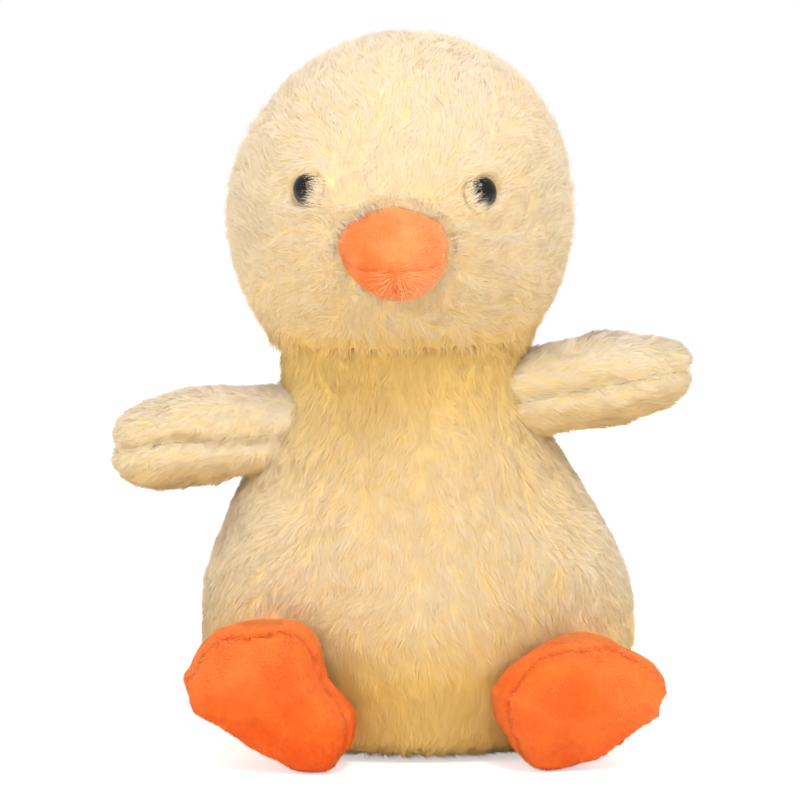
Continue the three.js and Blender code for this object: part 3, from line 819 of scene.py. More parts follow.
def bumped(tree, surface, strength, distance, height):
    bump = add(tree, "ShaderNodeBump", (("Strength", strength), ("Distance", distance), ("Height", height)))
    tree.links.new(bump.outputs[0], surface.inputs["Normal"])


def pile_material(name, root_colour, tip_colour, sheen, patch_size=0.035, soft=0.0):
    """Strands that are deeper in colour at the root, with a slightly different tone in each lock, and painted
    shade that deepens their colour where shade falls.
    """
    material, tree, surface = new_material(name)
    height, tone, depth = (attribute(tree, key) for key in (HEIGHT, TONE, PAINTED_SHADE))
    patches, _ = grain(tree, patch_size, 0.002)
    # Painted shade: it turns the tips towards the root colour and the roots towards a deeper one.
    tips = mix(tree, depth, rgba(tip_colour), rgba(root_colour))
    roots = mix(tree, depth, rgba(root_colour), rgba(tinted(root_colour, (1.0, 0.86, 0.62))))
    along = mix(tree, remap(tree, height, 0.1, 0.9), roots, tips)
    warm = mix(tree, remap(tree, tone, 0.0, 1.0, 0.0, 0.35), along, roots)
    pale = mix(tree, remap(tree, patches, 0.35, 0.65, 0.0, 0.3), warm, tips)
    tree.links.new(pale, surface.inputs["Base Color"])
    set_sockets(surface, {
        "Roughness": 0.75, "Specular IOR Level": 0.2, "Sheen Weight": sheen, "Sheen Roughness": 0.5,
        "Sheen Tint": rgba(tip_colour), "Subsurface Weight": soft, "Subsurface Radius": (1.0, 0.7, 0.35),
        "Subsurface Scale": 0.004,
    })
    return material


def velour_material(name, colour):
    """Short orange pile: brushed patches, a fine grain and a dark seam."""
    material, tree, surface = new_material(name)
    patches, fine = grain(tree, 0.012, 0.0006)
    tints = ((0.93, 0.72, 0.6), (1.03, 1.3, 1.7), (0.55, 0.3, 0.2))
    deep, light, dark = (rgba(tinted(colour, shares)) for shares in tints)
    brushed = mix(tree, remap(tree, patches, 0.38, 0.62), deep, light)
    speckled = mix(tree, remap(tree, fine, 0.3, 0.75, 0.0, 0.35), brushed, light)
    tree.links.new(mix(tree, attribute(tree, SEAM), speckled, dark), surface.inputs["Base Color"])
    bumped(tree, surface, 0.5, 0.0003, fine)
    set_sockets(surface, {
        "Roughness": 0.85, "Specular IOR Level": 0.2, "Sheen Weight": 0.25, "Sheen Roughness": 0.45,
        "Sheen Tint": rgba((1.0, 0.55, 0.3)),
    })
    return material


def plastic_material(name, colour, roughness, shine=0.5):
    material, tree, surface = new_material(name)
    patches, fine = grain(tree, 0.004, 0.0004)
    colours = mix(tree, remap(tree, patches, 0.3, 0.7), rgba(colour, 0.85), rgba(colour, 1.1))
    tree.links.new(colours, surface.inputs["Base Color"])
    rough = remap(tree, fine, 0.2, 0.8, roughness * 0.8, roughness * 1.25)
    tree.links.new(rough, surface.inputs["Roughness"])
    set_sockets(surface, {"Specular IOR Level": shine})
    return material


def cloth_material(name, colour, grain_size, bump_height):
    """Wadding or plain cloth: a pale colour with a fibrous grain."""
    material, tree, surface = new_material(name)
    patches, fine = grain(tree, 0.015, grain_size)
    shade = mix(tree, remap(tree, fine, 0.3, 0.7), rgba(colour, 0.86), rgba(colour))
    mottled = mix(tree, remap(tree, patches, 0.3, 0.7), shade, rgba(colour, 0.93))
    tree.links.new(mottled, surface.inputs["Base Color"])
    bumped(tree, surface, 0.8, bump_height, fine)
    set_sockets(surface, {"Roughness": 0.95})
    return material


def material(name):
    """The named finish, made when it is first asked for."""
    found = bpy.data.materials.get(name)
    if found:
        return found
    yellow, short, eye = plush(), orange(), bpy.context.scene.duck_eye
    makers = {
        "yellow pile": lambda: pile_material(name, yellow.root_colour, yellow.tip_colour, 0.12),
        "yellow bed": lambda: pile_material(name, yellow.root_colour, yellow.tip_colour, 0.12, soft=0.8),
        "foot velour": lambda: velour_material(name, short.foot_colour),
        "beak velour": lambda: velour_material(name, short.beak_colour),
        "foot pile": lambda: pile_material(
            name, short.foot_colour, tinted(short.foot_colour, (1.0, 2.35, 7.5)), 0.3, 0.014
        ),
        "beak pile": lambda: pile_material(
            name, short.beak_colour, tinted(short.beak_colour, (1.0, 2.3, 4.8)), 0.3, 0.01
        ),
        "black plastic": lambda: plastic_material(name, eye.colour, eye.roughness, 0.22),
        "white plastic": lambda: plastic_material(name, (0.78, 0.77, 0.74), 0.45),
        "pellet plastic": lambda: plastic_material(name, (0.62, 0.65, 0.68), 0.4),
        "wadding": lambda: cloth_material(name, (0.9, 0.89, 0.86), 0.002, 0.0008),
        "calico": lambda: cloth_material(name, (0.75, 0.70, 0.60), 0.0007, 0.0002),
    }
    return makers[name]()


def dress(item, finish):
    """Gives a piece its finish, and the material slot that goes with it."""
    item.data.materials.clear()
    item.data.materials.append(material(finish))


def settle(item, bodies):
    """Lets a piece ride on its body; a piece given two bodies stays where it is."""
    if isinstance(bodies, str):
        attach(item, bodies)
    else:
        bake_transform(item)


def finish_piece(item, finish, bodies, node, smooth=True):
    """Shades and finishes a piece, and lets it take the place of a CAD node."""
    if smooth:
        select_only(item)
        bpy.ops.object.shade_smooth()
    dress(item, finish)
    settle(item, bodies)
    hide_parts(node)


# Pieces


def beak_root():
    """Where the beak meets the face."""
    middle, half = centre_of(*BEAK)
    return np.array([middle[0], middle[1] + half[1], middle[2]])


def face_nap(points, normals):
    """The head's pile runs away from the beak, and down the back of the head and over the neck seam."""
    away = points - beak_root()
    reach = np.linalg.norm(away, axis=1)
    at_seam = smoothstep(0.012, 0.003, above_neck_ball(points))
    share = np.maximum(smoothstep(0.10, 0.15, reach), at_seam)[:, None]
    lay = along_surface(unit(away) * (1 - share) + DOWN * share + np.array([0, 1e-3, 0]), normals)
    for side, origin in LASH_SIDE.items():
        near = bell(from_eye(points, side) / 0.010)[:, None]
        lay = unit(lay * (1 - near) + along_surface(-np.array(origin), normals) * near)
    # Beside the beak the strands stand every way, some of them across its edge.
    wild = smoothstep(0.031, 0.022, reach) * 1.6
    return turned(lay, normals, wild * np.sin(points @ np.array([2900.0, 700.0, 3700.0])))


def body_nap(points, normals):
    """The body's pile runs down, and out over the base."""
    out = unit(points * LEVEL)
    return along_surface(DOWN + 0.15 * out + smoothstep(-0.6, -0.98, normals[:, 2])[:, None] * out, normals)


def limb_axis(nodes, joint):
    """A limb's hinge, and the direction in which it reaches out."""
    pivot = pivot_of(joint)
    return pivot, unit(centre_of(*nodes)[0] - pivot)


def pieces_by_angle(places, middle, names):
    """Names of gores by the direction round an upright axis, the first one facing forward."""
    angle = np.degrees(np.arctan2(places[:, 0] - middle[0], -(places[:, 1] - middle[1]))) % 360
    index = ((angle + 180 / len(names)) % 360 // (360 / len(names))).astype(int)
    return {name: index == k for k, name in enumerate(names)}


def keep_out(*names):
    """Forms that the pile mustn't grow into."""
    trees = []
    for name in names:
        form = bpy.data.objects[name]
        points = points_of(form)
        trees.append((tree_of(form), points.min(0), points.max(0)))
    return trees


def depth_of(points, normals):
    """Painted shade: how much deeper the colour is made on undersides, under the chin and at the base, where
    less light falls.
    """
    up = normals[:, 2]
    return np.clip(0.28 * (1 - up) + 0.3 * np.maximum(-up, 0) ** 2, 0, 1)


def body_painted_shade_of(points, normals):
    """The same painted shade on the body, deeper where the head shades it and at the base near the floor."""
    below = np.clip(-above_neck_seam(points), 0, 1)
    shaded = 0.6 * bell(below / 0.04) + 0.95 * smoothstep(0.07, 0, points[:, 2])
    return np.clip(depth_of(points, normals) + 0.1 + shaded, 0, 1)


def plush_coat(form, nap, seed, scale=1.0, depth_of=depth_of, stretch=None, ruffled=None):
    """Tufts and strands of the long pile on a form."""
    settings = plush()
    coat = Coat(form, nap, settings.tuft_size * scale, seed)
    coat.emboss(settings.tuft_height * scale, depth_of, ruffled)
    coat.grow(settings.density, settings.strand_length * scale, 0.44, 0.32, 0.26, stretch, ruffled)
    return coat


def short_coat(form, nap, seed, depth_of):
    """Strands of the short orange pile on a form."""
    settings = orange()
    coat = Coat(form, nap, settings.tuft_size, seed, wander=0.6)
    coat.depth_of = depth_of
    coat.grow(settings.density, settings.strand_length, 0.42, 0.3, 0.3)
    return coat


def make_strands(coat, parts, finish, bodies):
    """Makes the coat's pieces, which ride on their body where they have only one. parts: a name and which
    strands it has.
    """
    settings = plush() if finish == "yellow pile" else orange()
    for name, chosen in parts.items():
        strands = coat.mesh(name, chosen, settings.strand_width, SOFTNESS[finish])
        dress(strands, finish)
        settle(strands, bodies)


def split_form(form, names, height):
    """Cuts a closed form into two open panels: the faces where a height is positive, and the others."""
    made = []
    for name, upper in zip(names, (True, False)):
        panel = twin_of(form, name)
        select_only(panel)
        bpy.ops.object.mode_set(mode="EDIT")
        bpy.ops.mesh.select_all(action="DESELECT")
        bpy.ops.object.mode_set(mode="OBJECT")
        for face in panel.data.polygons:
            above = np.mean([height[corner] for corner in face.vertices]) >= 0
            face.select = bool(above) != upper
        bpy.ops.object.mode_set(mode="EDIT")
        bpy.ops.mesh.select_mode(type="FACE")
        bpy.ops.mesh.delete(type="FACE")
        bpy.ops.object.mode_set(mode="OBJECT")
        made.append(panel)
    remove(form)
    return made


def make_panels(form, names, nodes, height, wall, finish, bodies):
    """Splits a form at its seam into two panels with a wall, which take the places of two CAD nodes."""
    for panel, node in zip(split_form(form, names, height), nodes):
        shell(panel, wall)
        finish_piece(panel, finish, bodies, node)


def draw_in(form, value, width, depth, pucker, seed):
    """Pulls the cloth in along the line where a value is zero, with small puckers across it."""
    points, normals = points_of(form), normals_of(form)
    near = bell(value / width)
    folds = 1 + pucker * ripple(points, 0.0055, seed) * bell(value / (2.2 * width))
    place_points(form, points - normals * (near * depth * folds)[:, None])
    return near


def by_direction(places, limb, values):
    """One of these values for each place, by its direction round a limb's centre as seen from the front."""
    centre = CENTRE[limb]
    angle = np.degrees(np.arctan2(places[:, 2] - centre[1], places[:, 0] - centre[0])) % 360
    return np.interp(angle, np.linspace(0, 360, len(values) + 1), (*values, values[0]))


def reshape_outline(form, limb):
    """Scales the outline seen from the front, by a factor for each direction."""
    points = points_of(form)
    factor = by_direction(points, limb, OUTLINE[limb])
    for axis, middle in zip((0, 2), CENTRE[limb]):
        points[:, axis] = middle + (points[:, axis] - middle) * factor
    place_points(form, points)


def tuck_root(form, axis, reach, depth):
    """Draws the root of a limb into the body, out of sight."""
    points = points_of(form)
    along = points @ axis
    share = 1 - smoothstep(0.1 * reach, reach, along - along.min())
    place_points(form, points - axis * (depth * share)[:, None])


def liner_of(form, middle, depth):
    """The inner side of a closed form's wall: a coarser copy, drawn towards the middle and facing inwards."""
    liner = twin_of(form, "liner")
    apply_modifier(liner, "DECIMATE", decimate_type="UNSUBDIV", iterations=4)
    off = points_of(liner) - middle
    place_points(liner, middle + off - unit(off) * depth)
    liner.data.flip_normals()
    return liner


class DUCK_OT_body(bpy.types.Operator):
    """Makes the body's cover: the backing and its long pile"""

    bl_idname = "duck.body"
    bl_label = "Body cover"

    def execute(self, context):
        form = wrapped("body_plush", ("body_cover", "neck_filling"), (0, 0, 1), 72, 48, relax=4, adjust=pear)
        liner = liner_of(form, centre_of("body_cover")[0], plush().backing_depth)
        inset_but_cap(form, plush().bed_depth * 0.75)
        coat = plush_coat(form, body_nap, 11, depth_of=body_painted_shade_of)
        sit_above(form, 0.0012)
        coat.above_floor(CLEARANCE)
        press_on_neck_ball(coat)
        covered = (above_neck_ball(coat.root) < 0.002) & (above_neck_seam(coat.root) > 0.012)
        sat_on = (coat.root[:, 2] < 0.002) & (coat.rng.random(len(coat.root)) < 0.65)
        coat.select(~covered & ~sat_on)
        coat.out_of(keep_out("foot_left_skin", "foot_right_skin"))
        twin_of(form, "body_skin")
        names = ("body_pile_front", "body_pile_left", "body_pile_back", "body_pile_right")
        parts = pieces_by_angle(coat.root, centre_of("body_cover")[0], names)
        make_strands(coat, parts, "yellow pile", "torso")
        join(form, liner)
        finish_piece(form, "yellow bed", "torso", "body_cover")
        return {"FINISHED"}


class DUCK_OT_head(bpy.types.Operator):
    """Makes the head's cover: the backing and its long pile"""

    bl_idname = "duck.head"
    bl_label = "Head cover"

    def execute(self, context):
        nodes, middle = ("head_cover", "head_filling"), head_middle()
        form = wrapped("head_plush", nodes, (0, 0, 1), 64, 40, 3, middle, clear_of_neck_ball)
        liner = liner_of(form, middle, plush().backing_depth)
        off = points_of(liner) - neck_pivot()
        reach = np.linalg.norm(off, axis=1, keepdims=True)
        place_points(liner, neck_pivot() + off / reach * np.maximum(reach, neck_ball_radius() + 0.0012))
        inset_but_rim(form, plush().bed_depth)
        coat = plush_coat(form, face_nap, 23, 1.0, self.depth_of, self.stretch, self.ruffled)
        coat.select(((coat.root - neck_pivot()) * coat.normal).sum(1) > -0.012)
        coat.out_of(keep_out("beak_upper_skin", "beak_lower_skin"))
        part_at_eyes(coat)
        for side in SIDES:
            add_lashes(coat, side)
        self.add_fringe(coat)
        names = ("head_pile_face", "head_pile_left", "head_pile_back", "head_pile_right")
        make_strands(coat, pieces_by_angle(coat.root, middle, names), "yellow pile", "head")
        join(form, liner)
        finish_piece(form, "yellow bed", "head", "head_cover")
        return {"FINISHED"}

    @staticmethod
    def add_fringe(coat):
        """Strands of the face that close the pile round the beak, and some that reach over its upper edge."""
        rng = np.random.default_rng(83)
        over = (rng.normal(132, 17, 90), rng.normal(38, 12, 40))
        angle = np.radians(np.concatenate([*over, rng.uniform(0, 360, 260)]))
        count = len(angle)
        edge = np.stack([np.cos(angle), np.zeros(count), np.sin(angle)], 1)
        middle = np.array([CENTRE["beak"][0], 0, CENTRE["beak"][1]])
        half = centre_of(*BEAK)[1]
        girth = 1 / np.linalg.norm(edge[:, ::2] / half[::2], axis=1)
        girth *= by_direction(middle + edge, "beak", OUTLINE["beak"])
        root = middle + edge * (girth + rng.uniform(0.0006, 0.0022, count))[:, None]
        root[:, 1] = head_middle()[1] - centre_of("head_cover")[1][1] * 0.93
        inner = (np.arange(count) < len(over[0]) + len(over[1]))[:, None]

        def drawn(*ranges):
            over_beak, round_beak = (rng.uniform(*limits, (count, 1)) for limits in ranges)
            return np.where(inner, over_beak, round_beak)

        reach = drawn((0.0016, 0.0042), (-0.0034, -0.0008))
        tip = root - edge * reach + FORWARD * drawn((0.007, 0.010), (0.0052, 0.0070))
        tip += rng.normal(0, 0.0007, tip.shape)
        coat.add(root, tip, unit(edge + FORWARD), 0.3, 1.0, 0.1)

    @staticmethod
    def depth_of(points, normals):
        """More painted shade at the neck seam, in the crease where the head meets the body."""
        at_seam = smoothstep(0.012, 0.001, above_neck_ball(points))
        return np.clip(depth_of(points, normals) + 0.5 * at_seam, 0, 1)

    @staticmethod
    def stretch(points):
        """The strands at the neck seam hang over the body in uneven locks."""
        at_seam = smoothstep(0.010, 0.002, above_neck_ball(points))
        return 1 + at_seam * (0.3 + 0.55 * ripple(points, 0.017, 19))

    @staticmethod
    def ruffled(points):
        """How ruffled the pile is: most under and beside the beak."""
        off = (points - beak_root() - np.array([0.022, 0, -0.022])) / np.array([0.034, 0.05, 0.028])
        return np.exp(-(off**2).sum(1))


def eye_axis(side):
    """The top of an eye's dome, the direction in which it looks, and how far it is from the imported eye."""
    points = points_of(frame["nodes"][f"eye_{side}"])
    middle = head_middle()
    apex = points[np.argmax(distance(points, middle))]
    depth = (points - apex) @ unit(middle - apex)
    shank_end = points[depth > depth.max() - 0.0008].mean(0)
    reach = np.linalg.norm(apex - middle)
    moved = middle + unit(apex + np.array(EYE_SHIFT[side]) - middle) * (reach + EYE_LIFT)
    return moved, unit(apex - shank_end), moved - apex


def part_at_eyes(coat):
    """Keeps the pile from growing under the eyes, and lays what leans over an eye on its dome."""
    close = 0.015  # along an eye's axis: the pile on the far side of the head is left alone
    for side in SIDES:
        apex, look, _ = eye_axis(side)

        def seen_from_eye(places):
            off = places - apex
            along = off @ look
            return along, np.linalg.norm(off - along[:, None] * look, axis=1)

        along, across = seen_from_eye(coat.root)
        coat.select((across > 0.93 * EYE_RADIUS) | (np.abs(along) > close))
        root_across = seen_from_eye(coat.root)[1]
        along, across = seen_from_eye(coat.tip)
        over = (across < EYE_RADIUS) & (np.abs(along) < close)
        share = np.minimum(across / EYE_RADIUS, 1)
        lift = np.maximum(EYE_DOME * (np.sqrt(1 - share**2) - 1) + CLEARANCE - along, 0) * over
        coat.tip += lift[:, None] * look
        coat.root += (0.0014 * over * smoothstep(0.0085, 0.0065, root_across))[:, None] * look


def add_lashes(coat, side):
    """Strands of pile that reach over an eye from the beak's side."""
    apex, look, _ = eye_axis(side)
    rng = np.random.default_rng(len(side))
    inward = along_surface(np.array(LASH_SIDE[side]), look[None])[0]
    across = np.cross(look, inward)

    def over_dome(places, clearance):
        height = EYE_DOME * (np.sqrt(1 - np.minimum((places**2).sum(1) / EYE_RADIUS**2, 0.8)) - 1)
        flat = np.outer(places[:, 0], inward) + np.outer(places[:, 1], across)
        return apex + flat + np.outer(height + clearance, look)

    # Many strands hide the inner side of the eye, and a few single ones reach further.
    rows = (150, 0.6, 0.0026, 0.0046, 1.0), (16, 0.35, 0.0042, 0.0064, 0.8)
    for count, spread, short, long, girth in rows:
        angle, reach = rng.normal(0, spread, count), rng.uniform(0.0054, 0.0076, count)
        root = np.stack([np.cos(angle), np.sin(angle)], 1) * reach[:, None]
        turn = rng.normal(0, 0.22, count)
        heading = np.stack([-np.cos(turn), np.sin(turn)], 1)
        tip = root + heading * rng.uniform(short, long, count)[:, None]
        clear = rng.uniform(0.0002, 0.0006, count)
        root, tip = over_dome(root, clear * 0.3), over_dome(tip, clear)
        coat.add(root, tip, np.tile(look, (count, 1)), 0.45, girth, 0.22)


class DUCK_OT_eyes(bpy.types.Operator):
    """Makes the domed plastic eyes with their shanks, and finishes the lock washers"""

    bl_idname = "duck.eyes"
    bl_label = "Eyes"

    back_bulge, shank_radius, shank_length = 0.0007, 0.0017, 0.0094

    def execute(self, context):
        for side in SIDES:
            apex, look, moved = eye_axis(side)
            eye, points = ball(f"eye_{side}_dome", (0, 0, 1), 44, 30)
            points[:, :2] *= EYE_RADIUS
            points[:, 2] *= np.where(points[:, 2] > 0, EYE_DOME, self.back_bulge)
            place_points(eye, points)
            bpy.ops.mesh.primitive_cylinder_add(
                vertices=20, radius=self.shank_radius, depth=self.shank_length,
                location=(0, 0, -self.shank_length / 2),
            )
            join(eye, context.object)
            turn = Vector((0, 0, 1)).rotation_difference(Vector(look)).to_matrix().to_4x4()
            eye.data.transform(Matrix.Translation(apex - look * EYE_DOME) @ turn)
            finish_piece(eye, "black plastic", "head", f"eye_{side}")
            washer = copy_of_nodes(f"eye_washer_{side}")
            washer.name = washer.data.name = f"eye_{side}_lock_washer"
            place_points(washer, points_of(washer) + moved)
            finish_piece(washer, "white plastic", "head", f"eye_washer_{side}", smooth=False)
        return {"FINISHED"}


class DUCK_OT_wings(bpy.types.Operator):
    """Makes the wings' panels and their long pile"""

    bl_idname = "duck.wings"
    bl_label = "Wings"

    seam_depth = {"left": 0.0009, "right": 0.0018}

    def execute(self, context):
        for side, seed in (("left", 31), ("right", 37)):
            limb = f"wing_{side}"
            nodes = LIMBS[limb]
            pivot, axis = limb_axis(nodes, f"{limb}_flap")
            axis = unit(axis * np.array([1, 0, 1]))
            form = wrapped_along(f"{limb}_form", nodes, axis, clear=0.019, sink=0.016, segments=28, rings=28)
            up = np.cross(axis, FORWARD)
            up *= np.sign(up[2])
            reshape_outline(form, limb)
            inset(form, plush().bed_depth * 0.8)
            height = (points_of(form) - pivot) @ up
            wave = 0.0014 * ripple(points_of(form), 0.03, seed)
            draw_in(form, height + wave, 0.0024, self.seam_depth[side], 0.5, seed)
            coat = plush_coat(form, lambda p, n, a=axis: along_surface(a + 0.25 * DOWN, n), seed, 0.9)
            coat.out_of(keep_out("body_skin"))
            upper = (coat.root - pivot) @ up >= 0
            parts = {f"{limb}_upper_pile": upper, f"{limb}_lower_pile": ~upper}
            bodies, hinge = ("torso", limb), (pivot - axis * 0.008, pivot + axis * 0.014)
            make_strands(coat, parts, "yellow pile", bodies)
            names = (f"{limb}_upper_plush", f"{limb}_lower_plush")
            make_panels(form, names, nodes, height, 0.0022, "yellow bed", bodies)
        return {"FINISHED"}


class DUCK_OT_tail(bpy.types.Operator):
    """Makes the tail's cover and its long pile"""

    bl_idname = "duck.tail"
    bl_label = "Tail"

    def execute(self, context):
        axis, middle = unit(np.array([0, 1, 0.45])), np.array([0, 0.071, 0.0427])
        form = wrapped("tail_plush", ("tail_cover", "tail_filling"), axis, 28, 18, middle=middle)
        tuck_root(form, axis, 0.009, 0.010)
        inset(form, plush().bed_depth * 0.7)
        coat = plush_coat(form, lambda p, n: along_surface(axis, n), 41, 0.8)
        coat.out_of(keep_out("body_skin"))
        make_strands(coat, {"tail_pile": np.ones(len(coat.root), bool)}, "yellow pile", "torso")
        shell(form, 0.0016)
        finish_piece(form, "yellow bed", "torso", "tail_cover")
        return {"FINISHED"}


class DUCK_OT_feet(bpy.types.Operator):
    """Makes the feet: sole and upper, drawn in at their seam, with short pile"""

    bl_idname = "duck.feet"
    bl_label = "Feet"

    yaw, pitch = math.radians(17), math.radians(12)

    def execute(self, context):
        for side, sign, seed in (("left", 1, 51), ("right", -1, 57)):
            limb = f"foot_{side}"
            nodes = LIMBS[limb]
            pivot, _ = limb_axis(nodes, f"{limb}_tip")
            turn = Matrix.Rotation(self.yaw * sign, 3, "Z") @ Matrix.Rotation(self.pitch, 3, "X")
            back = np.array(turn @ Vector((0, 1, 0)))
            form = wrapped(f"{limb}_form", nodes, back, 38, 28)
            seam_point = self.seam_point(nodes)

            def before_seam(places):
                shift = by_direction(places, limb, FOOT_SEAM_SHIFT[limb]) * MM
                return (places - seam_point) @ -back + shift

            reshape_outline(form, limb)
            tuck_root(form, -back, 0.018, 0.008)
            value = before_seam(points_of(form))
            near = draw_in(form, value, 0.0018, orange().seam_depth, 1.0, seed)
            sit_above(form, 0.0006)
            seam = near**2 * (0.7 + 0.5 * ripple(points_of(form), 0.003, seed + 1)).clip(0, 1)
            note(form.data, SEAM, seam)
            twin_of(form, f"{limb}_skin")
            coat = short_coat(form, self.nap(centre_of(nodes[0])[0], back), seed, self.depth_of(limb))
            coat.above_floor(0.0003)
            thinned = (coat.root - seam_point) @ back > 0.016 + coat.rng.random(len(coat.root)) * 0.012
            coat.select(~thinned)
            front = before_seam(coat.root) > 0
            bodies, hinge = ("torso", limb), (pivot - FORWARD * 0.004, pivot + FORWARD * 0.012)
            parts = {f"{limb}_sole_pile": front, f"{limb}_upper_pile": ~front}
            make_strands(coat, parts, "foot pile", bodies)
            names = (f"{limb}_sole_cloth", f"{limb}_upper_cloth")
            make_panels(form, names, nodes, value, 0.0009, "foot velour", bodies)
        return {"FINISHED"}

    @staticmethod
    def depth_of(limb):
        """Painted shade and light: the pile is redder low down and pale towards the upper and outer rim; on
        top of that it is redder in brushed patches.
        """
        centre = np.array(CENTRE[limb])
        towards, painted_low_shade, painted_rim_light = ((1, 0.9), 0.15, 1.0) if limb == "foot_left" else ((-0.5, 1), 0.8, 0.6)

        def depth(points, normals):
            off = (points[:, ::2] - centre) @ unit(np.array(towards))
            # Painted shade low down and painted light towards the upper and outer rim; the ripple gives
            # brushed patches.
            low = smoothstep(0.042, 0.004, points[:, 2])
            pale = painted_rim_light * smoothstep(0.006, 0.024, off)
            return np.clip(0.45 + painted_low_shade * low - pale + 0.2 * ripple(points, 0.022, 97), 0, 1)

        return depth

    @staticmethod
    def seam_point(nodes):
        """A point on the seam between sole and upper: midway between the closest corners of both."""
        sole, upper = (points_of(frame["nodes"][node]) for node in nodes)
        tree = corner_tree(upper)
        found = [tree.find(corner) for corner in sole]
        close = np.array([hit[2] for hit in found]) < 0.0008
        return (sole[close].mean(0) + np.array([np.array(hit[0]) for hit in found])[close].mean(0)) / 2

    @staticmethod
    def nap(middle, back):
        def lay(points, normals):
            swirl = ripple(points, 0.03, 91)[:, None] * np.cross(normals, back)
            return along_surface(DOWN * 0.6 + unit(points - middle) * 0.5 + swirl, normals)

        return lay


class DUCK_OT_beak(bpy.types.Operator):
    """Makes the beak's two panels with their short pile"""

    bl_idname = "duck.beak"
    bl_label = "Beak"

    seam_rise = 0.0035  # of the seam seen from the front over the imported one

    def execute(self, context):
        middle, half = centre_of(*BEAK)
        out = unit(np.array([0, -1, -0.2]))
        form = wrapped("beak_form", BEAK, -out, 30, 20)
        reshape_outline(form, "beak")
        tuck_root(form, out, 0.010, 0.008)
        upper, lower = (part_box(node) for node in BEAK)
        seam_height = (lower[1].z + upper[0].z) / 2 + self.seam_rise
        seam = np.array([middle[0], middle[1] - half[1] * 0.4, seam_height])

        def above_seam(places):
            return (places - seam) @ unit(np.array([0, -0.25, 1.0]))

        value = above_seam(points_of(form))
        near = draw_in(form, value, 0.0014, 0.0007, 0.6, 61)
        whorl = middle + half * np.array([0.12, -1.0, -0.25])
        opening = whorl + np.array([0, 0, -0.004])  # where the pile parts and the cloth shows
        parted = bell(distance(points_of(form), opening) / 0.009)
        note(form.data, SEAM, np.maximum(near * 0.2, parted * 0.55))
        coat = short_coat(form, self.nap(whorl), 63, self.depth_of(whorl))
        coat.select(coat.rng.random(len(coat.root)) > 0.8 * bell(distance(coat.root, opening) / 0.008))
        self.add_long_strands(form, coat, whorl)
        above = above_seam(coat.root) >= 0
        make_strands(coat, {"beak_upper_pile": above, "beak_lower_pile": ~above}, "beak pile", "head")
        names = ("beak_upper_skin", "beak_lower_skin")
        make_panels(form, names, BEAK, value, 0.0008, "beak velour", "head")
        return {"FINISHED"}

    @staticmethod
    def nap(whorl):
        """The beak's pile runs away from a whorl on its lower front."""
        return lambda points, normals: along_surface(unit(points - whorl) + 0.15 * DOWN, normals)

    @staticmethod
    def depth_of(whorl):
        """The pile is deeper in colour at the whorl, with painted shade towards the duck's right, and pale
        elsewhere.
        """

        def depth(points, normals):
            off = points - whorl
            near = np.exp(-(((off - np.array([-0.004, 0, 0])) / np.array([0.010, 0.02, 0.008])) ** 2).sum(1))
            # Painted shade on the duck's right side of the beak.
            right = smoothstep(0.006, -0.012, off[:, 0])
            return np.clip(0.12 + 0.6 * near + 0.6 * right + 0.15 * ripple(points, 0.012, 98), 0, 1)

        return depth

    @staticmethod
    def add_long_strands(form, coat, whorl):
        """Longer single strands that stand out below the whorl, where the pile opens."""
        rng = np.random.default_rng(67)
        root, normal = scatter(form, 3600, rng)
        off = (root - whorl - np.array([0, 0, -0.005])) / np.array([0.010, 0.012, 0.0065])
        near = (off**2).sum(1) < rng.uniform(0.3, 1.4, len(root))
        root, normal = root[near], normal[near]
        lay = along_surface(unit(root - whorl) + rng.normal(0, 0.2, root.shape), normal)
        length = rng.uniform(0.0026, 0.0044, len(root))[:, None]
        coat.add(root, root + (lay * 0.9 + normal * 0.42) * length, normal, 0.05, 1.6)


class DUCK_OT_stuffing(bpy.types.Operator):
    """Makes the wadding in the body, neck, head, beak, wings, feet and tail"""

    bl_idname = "duck.stuffing"
    bl_label = "Stuffing"

    def execute(self, context):
        rows = [("body", "torso", 0.003), ("neck", "neck", 0.002), ("head", "head", 0.0032)]
        rows += [("beak", "head", 0.0012), ("tail", "torso", 0.0012)]
        rows += [(limb, limb, 0.0016) for limb in LIMBS]
        room = {"tail": 0.0015}  # between the wadding and its cover
        for seed, (place, body, voxel) in enumerate(rows):
            node = f"{place}_filling"
            wad = copy_of_nodes(node)
            wad.name = wad.data.name = f"{place}_wadding"
            apply_modifier(wad, "REMESH", mode="VOXEL", voxel_size=voxel)
            apply_modifier(wad, "SMOOTH", factor=0.5, iterations=3)
            points, normals = points_of(wad), normals_of(wad)
            lumps = ripple(points, 0.014, 200 + seed) * 0.5 - 0.5
            lift = lumps * context.scene.duck_stuffing.lump_height - (0.0015 if place in LIMBS else 0)
            place_points(wad, points + normals * lift[:, None])
            inset(wad, room.get(place, 0))
            if place in OUTLINE:
                reshape_outline(wad, place)
            finish_piece(wad, "wadding", body, node)
        return {"FINISHED"}


